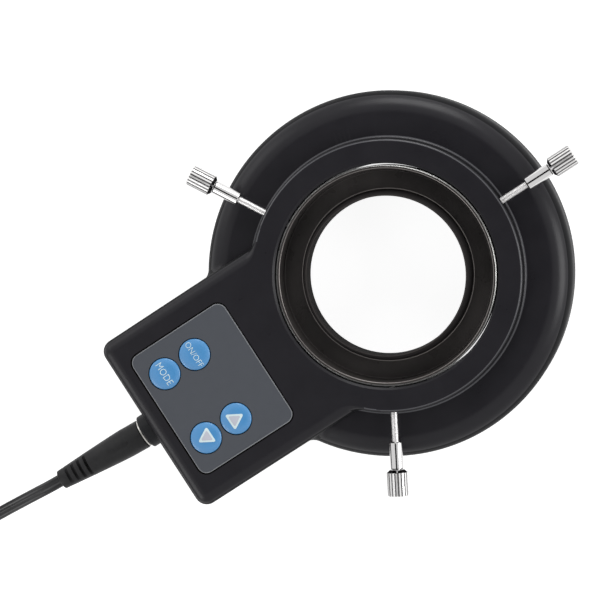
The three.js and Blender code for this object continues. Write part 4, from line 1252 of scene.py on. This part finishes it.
# %% Threaded stem
stem_start = 30.5 * mm
thread_start = 31.2 * mm
thread_end = 46.3 * mm
shank_end = 54 * mm
spigot_end = 59 * mm
thread_radius, thread_root, thread_core = 1 * mm, 0.78 * mm, 0.7 * mm
thread_pitch = 0.4 * mm
thread_crest = 0.12 * mm
thread_steps = 24
spare_turns = 2
shank_radius = 1.85 * mm
shank_edge = 0.3 * mm
spigot_radius = 1.1 * mm
tip_radius = 0.35 * mm
tip_length = 0.6 * mm


def threaded(name, low, high):
    """A closed thread between two heights."""
    turns = math.ceil((high - low) / thread_pitch) + 2 * spare_turns
    first = low - spare_turns * thread_pitch
    crest = first + (thread_pitch - thread_crest) / 2
    piece = wire(name, [Vector((thread_root, 0, first)), Vector((thread_radius, 0, crest)),
                        Vector((thread_radius, 0, crest + thread_crest)),
                        Vector((thread_root, 0, first + thread_pitch))])
    apply(piece, "SCREW", angle=math.tau, screw_offset=thread_pitch, iterations=turns,
          steps=thread_steps, render_steps=thread_steps)
    with edit(piece):
        bpy.ops.mesh.remove_doubles(threshold=fine)
        for height, keeps_above in ((low, True), (high, False)):
            bpy.ops.mesh.select_all(action="SELECT")
            bpy.ops.mesh.bisect(plane_co=(0, 0, height), plane_no=(0, 0, 1), use_fill=True,
                                clear_inner=keeps_above, clear_outer=not keeps_above, threshold=fine)
        bpy.ops.mesh.select_all(action="SELECT")
        bpy.ops.mesh.normals_make_consistent(inside=False)
    return piece


stem = turned("stem", [
    (0, stem_start), (tip_radius, stem_start, broken_edge), (thread_core, stem_start + tip_length),
    (thread_core, thread_end), (shank_radius - shank_edge, thread_end),
    (shank_radius, thread_end + shank_edge), (shank_radius, shank_end - shank_edge),
    (shank_radius - shank_edge, shank_end), (spigot_radius, shank_end),
    (spigot_radius, spigot_end, broken_edge), (0, spigot_end)], steps=48)
combine(stem, threaded("thread", thread_start, thread_end + broken_edge), "UNION")
print("stem:", len(stem.data.polygons), "faces")

# %% Knurled knob
knob_start = shank_end + close_fit
knob_end = 61.6 * mm
knob_radius = 3 * mm
knob_neck = 2 * mm
knob_cone = 0.8 * mm
knob_edge = 0.35 * mm
knurl_depth = 0.28 * mm
knurl_count = 20
crest_share = 0.5


def knurl_outline():
    """Flat crests with V grooves between them."""
    outline = []
    for i in range(knurl_count):
        for turn, radius in ((-crest_share / 2, knob_radius), (crest_share / 2, knob_radius),
                             (0.5, knob_radius - knurl_depth)):
            angle = math.tau * (i + turn) / knurl_count
            outline.append((radius * math.cos(angle), radius * math.sin(angle)))
    return outline


knob = plate("knob", knurl_outline(), knob_start, knob_end)
combine(knob, turned("knob_form", [
    (0, knob_start), (knob_neck, knob_start), (knob_radius + fine, knob_start + knob_cone),
    (knob_radius + fine, knob_end - knob_edge), (knob_radius - knob_edge, knob_end),
    (0, knob_end)], steps=96), "INTERSECT")
drill(knob, spigot_radius + close_fit, up(0), knob_start - overrun, spigot_end + close_fit, steps=32)
print("knob:", len(knob.data.polygons), "faces")

# %% Three thumbscrews
screw_axis = place(0, 0, screw_height)
across_limit = 0.3
flank_limit = 0.4


def in_groove(along):
    """Answers for the sloping flanks of a knob's grooves, whose normals miss its axis; they get painted
    shade.
    """
    def answer(face):
        arm = face.center - screw_axis
        arm = (arm - along * arm.dot(along)).normalized()
        return abs(face.normal.dot(along)) <= across_limit and 0.2 < arm.dot(face.normal) < 0.97
    return answer


def on_flank(along):
    """Answers for the flanks of the thread, which rolling leaves duller than its crests."""
    return lambda face: (abs(face.normal.dot(along)) > flank_limit
                         and stem_start < (face.center - screw_axis).dot(along) < thread_end - fine)


for number, angle in enumerate(screw_angles, 1):
    along = outward(angle)
    laid = Matrix.Translation(screw_axis) @ along.to_track_quat("Z", "Y").to_matrix().to_4x4()
    shaft = moved(copied(stem, f"screw_stem_{number}"), laid)
    finish(shaft, nickel, "nickel", f"screw_shaft_{number}", body=f"shaft_{number}", sharp=30, weighted=False)
    touch(shaft, thread_nickel, on_flank(along))
    grip = moved(copied(knob, f"knurled_knob_{number}"), laid)
    finish(grip, knob_nickel, "nickel", f"screw_knob_{number}", body=f"knob_{number}", sharp=20)
    # Painted shade in the knurl's grooves.
    touch(grip, groove_nickel_painted_shade, in_groove(along))
    # Painted shade on the knob's cone, which faces the ring.
    touch(grip, cone_nickel_painted_shade, lambda face: face.normal.dot(along) < -flank_limit)
for piece in (stem, knob):
    bpy.data.objects.remove(piece)

# %% [markdown]
# ## Lamps and window
# Sixty lamps stand in two rows on a ring of circuit board, in the channel under the rim, behind a
# clear window. A lamp is a turned bullet with a dome and a flange; the rows are staggered by half a
# step. The window is a flat ring with polished, lightly broken edges.

# %% Lamp board
board_low, board_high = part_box("led_board")
lamp_radius = 2.5 * mm
lamp_flange = 2.9 * mm
lamp_tip = board_low.z
board_top = board_high.z
board_thickness = 1.6 * mm
board_foot = board_top - board_thickness
board_inner, board_outer = 34.8 * mm, board_high.x
row_radii = (38.05 * mm, 45.15 * mm)
lamps_in_row = 30
dome_steps = 6


def flat_ring(name, inner, outer, low, high, edge=0.0):
    """A flat ring with its two lower edges rounded where edge is given."""
    rounding = (edge,) if edge else ()
    return turned(name, [(inner, low, *rounding), (outer, low, *rounding), (outer, high), (inner, high)],
                  steps=ring_steps, closed=True, round_steps=2)


board = flat_ring("lamp_board", board_inner, board_outer, board_foot, board_top)
for spot in spots("led_board_screw", 3):
    drill(board, small_hole, spot, board_foot - overrun, board_top + overrun)
finish(about_axis(board), circuit_board, "circuit_board")

turns = [math.radians(90) * i / dome_steps for i in range(1, dome_steps + 1)]
lamp_rim = board_foot - mm
lamp = turned("lamp", [
    (0, lamp_tip), *[(lamp_radius * math.sin(a), lamp_tip + lamp_radius * (1 - math.cos(a))) for a in turns],
    (lamp_radius, lamp_rim), (lamp_flange, lamp_rim), (lamp_flange, board_foot), (0, board_foot)], steps=20)
lamps = [about_axis(copied(lamp, "lamp_copy"), outward(90 + (i + row / 2) * 360 / lamps_in_row) * radius)
         for row, radius in enumerate(row_radii) for i in range(lamps_in_row)]
bpy.data.objects.remove(lamp)
finish(join("lamps", lamps), lamp_epoxy, "window_plastic", "led_board", weighted=False)

# %% Window
window = flat_ring("clear_window", channel_inner - window_ledge + close_fit, window_high.x,
                   window_low.z, window_high.z, broken_edge)
finish(about_axis(window), window_plastic, "window_plastic", "led_window", sharp=25)

# %% [markdown]
# ## Underside
# A plate closes the box from below. Its screws and those of the lamp board have small round heads
# with a cross recess, which is two crossed slabs cut into a turned head.

# %% Screws with a cross recess
head_rounding = 0.35
recess_reach, recess_half, recess_depth = 0.62, 0.13, 0.55


def cross_screw(name, head_radius, shank, head_height=1.2 * mm):
    """A screw from below, at the place of its node."""
    low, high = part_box(name)
    length = high.z - low.z
    piece = turned("cross_screw", [
        (0, 0), (head_radius, 0, head_rounding * head_height), (head_radius, head_height),
        (shank, head_height), (shank, length - shank / 2), (shank / 2, length), (0, length)],
        steps=32, round_steps=4)
    reach, half = recess_reach * head_radius, recess_half * head_radius
    depth = recess_depth * head_height
    recess = slab("recess", (-reach, -half, -overrun), (reach, half, depth))
    combine(recess, slab("recess_across", (-half, -reach, -overrun), (half, reach, depth)), "UNION")
    cut(piece, recess)
    about_axis(piece, middle_of(name) + up(low.z))
    piece.name = f"cross_{name}"
    finish(piece, screw_steel, "screw_steel", name)


for kind, count, head_radius, shank in (("led_board_screw", 3, 1.4 * mm, 0.8 * mm),
                                        ("cover_screw", 4, 2 * mm, mm)):
    for i in range(count):
        cross_screw(f"{kind}_{i + 1}", head_radius, shank)

# %% Plate under the box
plate_corner = box_corner - cover_ledge - close_fit
plate_edge = 0.25 * mm
well_radius, well_depth = 2.15 * mm, 1.2 * mm
under = slab("under_plate", (-cover_high.x, cover_low.y - axis_y, box_underside),
             (cover_high.x, 0, cover_top), plate_corner, steps=8)
drill(under, ring_radius + close_fit, up(0), 0, plateau_height, ring_steps)
for spot in spots("cover_screw", 4):
    drill(under, well_radius, spot, box_underside - overrun, box_underside + well_depth, steps=32)
    drill(under, large_hole, spot, box_underside, cover_top + overrun)
soften(under, plate_edge, sharp_at(box_underside), steps=2)
finish(about_axis(under), cover_plastic, "housing_plastic", "box_cover")

# %% [markdown]
# ## Band round the coil
# A band holds the coiled cord together. It is a rounded loop with the coil's section left free in
# it, turned into the coil's radius.

# %% Band
tie_angle = 140
tie_middle = coil_inner + coil_pitch * coil_turns / 4
tie_half = coil_pitch * coil_turns / 4 + core_radius + loose_fit
tie_thickness = 0.8 * mm
tie_width = 4 * mm
tie_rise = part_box("coil_tie")[1].z / 2
tie_edge = 0.2 * mm


def rounded_rectangle(half_x, half_y, corner, steps=6):
    turns = ((1, 1, 0), (-1, 1, 90), (-1, -1, 180), (1, -1, 270))
    return [point for x, y, start in turns
            for point in arc(x * (half_x - corner), y * (half_y - corner), corner, start, start + 90, steps)]


band = plate("cord_band", rounded_rectangle(tie_half + tie_thickness, tie_rise, 2 * tie_thickness),
             -tie_width / 2, tie_width / 2)
cut(band, plate("band_room", rounded_rectangle(tie_half, tie_rise - tie_thickness, tie_thickness),
                -tie_width, tie_width))
soften(band, tie_edge, lambda e: abs(abs(middle(e).z) - tie_width / 2) < fine and e.calc_face_angle(0) > 0.5)
radial = outward(tie_angle)
moved(band, Matrix.Translation(place(*coil_centre, tie_rise) + radial * tie_middle)
      @ Matrix((radial, up(1), radial.cross(up(1)))).transposed().to_4x4())
finish(band, cord_vinyl, "component_black", "coil_tie")

# %% [markdown]
# ## Plug-in supply
# The supply lies on its back, with the blades up. Base and lid are two mouldings that meet in a
# seam; the lid leans in a little, as a moulding must to leave its mould. The cord goes in through a
# ribbed sleeve.

# %% Supply case
lid_low, lid_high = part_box("supply_cover")
supply_corner = 4 * mm
supply_edge = 1.6 * mm
lid_draft = 0.8 * mm
seam = 0.3 * mm
supply_half = (supply_high - supply_low) / 2
supply_centre = (supply_low + supply_high) / 2


def case_rim(inset, height):
    """The case's outline, drawn in by inset."""
    outline = rounded_rectangle(supply_half.x - inset, supply_half.y - inset, supply_corner - inset / 2, 8)
    return [Vector((supply_centre.x + x, supply_centre.y + y, height)) for x, y in outline]


def rounded_rims(edge, level, sign, inset=0.0, steps=5):
    """Outlines round an edge, from the wall to the flat."""
    return [case_rim(inset + edge * (1 - math.cos(a)), level - sign * edge * (1 - math.sin(a)))
            for a in (math.radians(90) * i / steps for i in range(steps + 1))]


base = loft("supply_bottom", [
    *reversed(rounded_rims(supply_edge, supply_low.z, -1)), *rounded_rims(seam, supply_high.z, 1, steps=2)])
finish(base, supply_plastic, "supply_plastic", "supply_base")
lid = loft("supply_lid", [
    *reversed(rounded_rims(seam, lid_low.z, -1, steps=2)),
    *rounded_rims(supply_edge, lid_high.z, 1, lid_draft)])
finish(lid, supply_plastic, "supply_plastic", "supply_cover")

# %% Sleeve and blades
sleeve_length = relief_high.x - relief_low.x
sleeve_radius, sleeve_end = 3.6 * mm, 2.5 * mm
rib_depth = 0.5 * mm
rib_count = 4


def sleeve_section():
    """A tapering line with square grooves between its ribs."""
    section = [(0, 0)]
    for i in range(2 * rib_count + 1):
        for share in (i / (2 * rib_count + 1), (i + 1) / (2 * rib_count + 1)):
            radius = sleeve_radius + (sleeve_end - sleeve_radius) * share - (i % 2) * rib_depth
            section.append((radius, sleeve_length * share))
    return [*section, (0, sleeve_length)]


sleeve = turned("supply_sleeve", sleeve_section(), steps=48)
moved(sleeve, Matrix.Translation((relief_high.x, supply_centre.y, supply_cord_height))
      @ Matrix.Rotation(math.radians(-90), 4, "Y"))
finish(sleeve, plug_vinyl, "supply_plastic", "supply_relief")

blade_corner = 1.4 * mm
for side in ("left", "right"):
    node = f"supply_blade_{side}"
    low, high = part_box(node)
    blade = slab(f"plug_blade_{side}", low, high)
    soften(blade, blade_corner, lambda e: middle(e).z > high.z - fine
           and abs(e.verts[0].co.y - e.verts[1].co.y) > fine, 5)
    soften(blade, broken_edge, lambda e: e.calc_face_angle(0) > 1 and middle(e).z > low.z + fine, 2)
    finish(blade, contact_nickel, "nickel", node)

# %% [markdown]
# ## Nodes that stay
# What lies inside keeps its shape from the frame and gets the finish of the real piece. The clear
# window lets the lamps be seen from below, and a gap here and there shows a switch or a board.

# %% Finishes of the nodes that stay
slot_materials = {
    "housing_plastic": cover_plastic,
    "adapter_black": adapter_black,
    "window_plastic": window_plastic,
    "circuit_board": circuit_board,
    "label_film": label_film,
    "button_blue": button_blue,
    "nickel": nickel,
    "insert_brass": brass,
    "screw_steel": screw_steel,
    "component_black": part_plastic,
    "supply_plastic": supply_plastic,
    "cord_vinyl": cord_vinyl,
}
for row in frame["record"]["subparts"]:
    node = frame["nodes"][row["node"]]
    node.data.materials.clear()
    node.data.materials.append(slot_materials[row["material_slot"]])
print("kept nodes:", sum(not node.hide_render for node in frame["nodes"].values()))

# %% [markdown]
# ## Light and floor
# A big soft light stands on each side at a low angle, so that it gleams along the rounded rim while
# the flat top stays dark, as in the photograph. The floor is white and keeps the object's shadow.
# The camera, mirrors and glass see the surroundings white; all else gets a plain grey sky.

# %% Floor
floor_size = 6.0
floor_gap = 0.05 * mm
floor_patch = 0.4
floor_white = 0.6
floor_lift = 0.88


def looked_at(nodes, links):
    """One where the camera, a mirror or glass looks, and nought for all other light."""
    paths = nodes.new("ShaderNodeLightPath")
    seen = paths.outputs["Is Camera Ray"]
    for ray in ("Is Glossy Ray", "Is Transmission Ray"):
        either = nodes.new("ShaderNodeMath")
        either.operation = "MAXIMUM"
        links.new(seen, either.inputs[0])
        links.new(paths.outputs[ray], either.inputs[1])
        seen = either.outputs[0]
    return seen


bpy.ops.mesh.primitive_plane_add(size=floor_size, location=up(-floor_gap))
floor = named("floor")
floor_finish = Finish("floor white", (floor_white,) * 3 + (1.0,), 0.9, specular=0.0)
floor_finish.gloss(floor_finish.noise(floor_patch), 0.03)
lift = floor_finish.ramp(looked_at(floor_finish.nodes, floor_finish.links), 0, floor_lift)
floor_finish.set({"Emission Color": (1, 1, 1, 1)})
floor_finish.links.new(lift, floor_finish.shader.inputs["Emission Strength"])
floor.data.materials.append(floor_finish.material)

# %% Sky
sky_strength = 0.35
world = bpy.data.worlds.new("studio")
bpy.context.scene.world = world
world.use_nodes = True
tree = world.node_tree
background = tree.nodes["Background"]
background.inputs["Color"].default_value = (1, 1, 1, 1)
sky_level = tree.nodes.new("ShaderNodeMapRange")
sky_level.inputs["To Min"].default_value = sky_strength
sky_level.inputs["To Max"].default_value = 1.0
tree.links.new(looked_at(tree.nodes, tree.links), sky_level.inputs["Value"])
tree.links.new(sky_level.outputs["Result"], background.inputs["Strength"])

# %% Soft lights
light_target = place(0, 0, 10 * mm)
light_distance = 1.5
light_size = 0.8
for name, azimuth, elevation, power in (("light_top", 85, 24, 11), ("light_right", 0, 24, 11),
                                        ("light_left", 150, 24, 3.2), ("light_near", 222, 27, 6)):
    a, e = math.radians(azimuth), math.radians(elevation)
    across = camera_right * math.cos(a) + camera_up * math.sin(a)
    level = Vector((across.x, across.y, 0)).normalized()
    spot = light_target + (level * math.cos(e) + up(math.sin(e))) * light_distance
    bpy.ops.object.light_add(type="AREA", location=spot)
    light = bpy.context.object
    light.name = name
    light.rotation_euler = (spot - light_target).to_track_quat("Z", "Y").to_euler()
    light.data.shape = "SQUARE"
    light.data.size = light_size
    light.data.energy = power

# %% Dark cloth overhead
cloth_height = 3.0
cloth_radius = 0.8
bpy.ops.mesh.primitive_circle_add(vertices=64, radius=cloth_radius, fill_type="NGON",
                                  location=light_target + up(cloth_height))
cloth = named("dark_cloth")
cloth_finish = Finish("dark cloth", linear(16, 16, 17), 0.9, specular=0.0)
cloth_finish.shades(cloth_finish.noise(0.05), 0.8, 1.2)
cloth.data.materials.append(cloth_finish.material)
bpy.context.scene.view_settings.view_transform = "Standard"
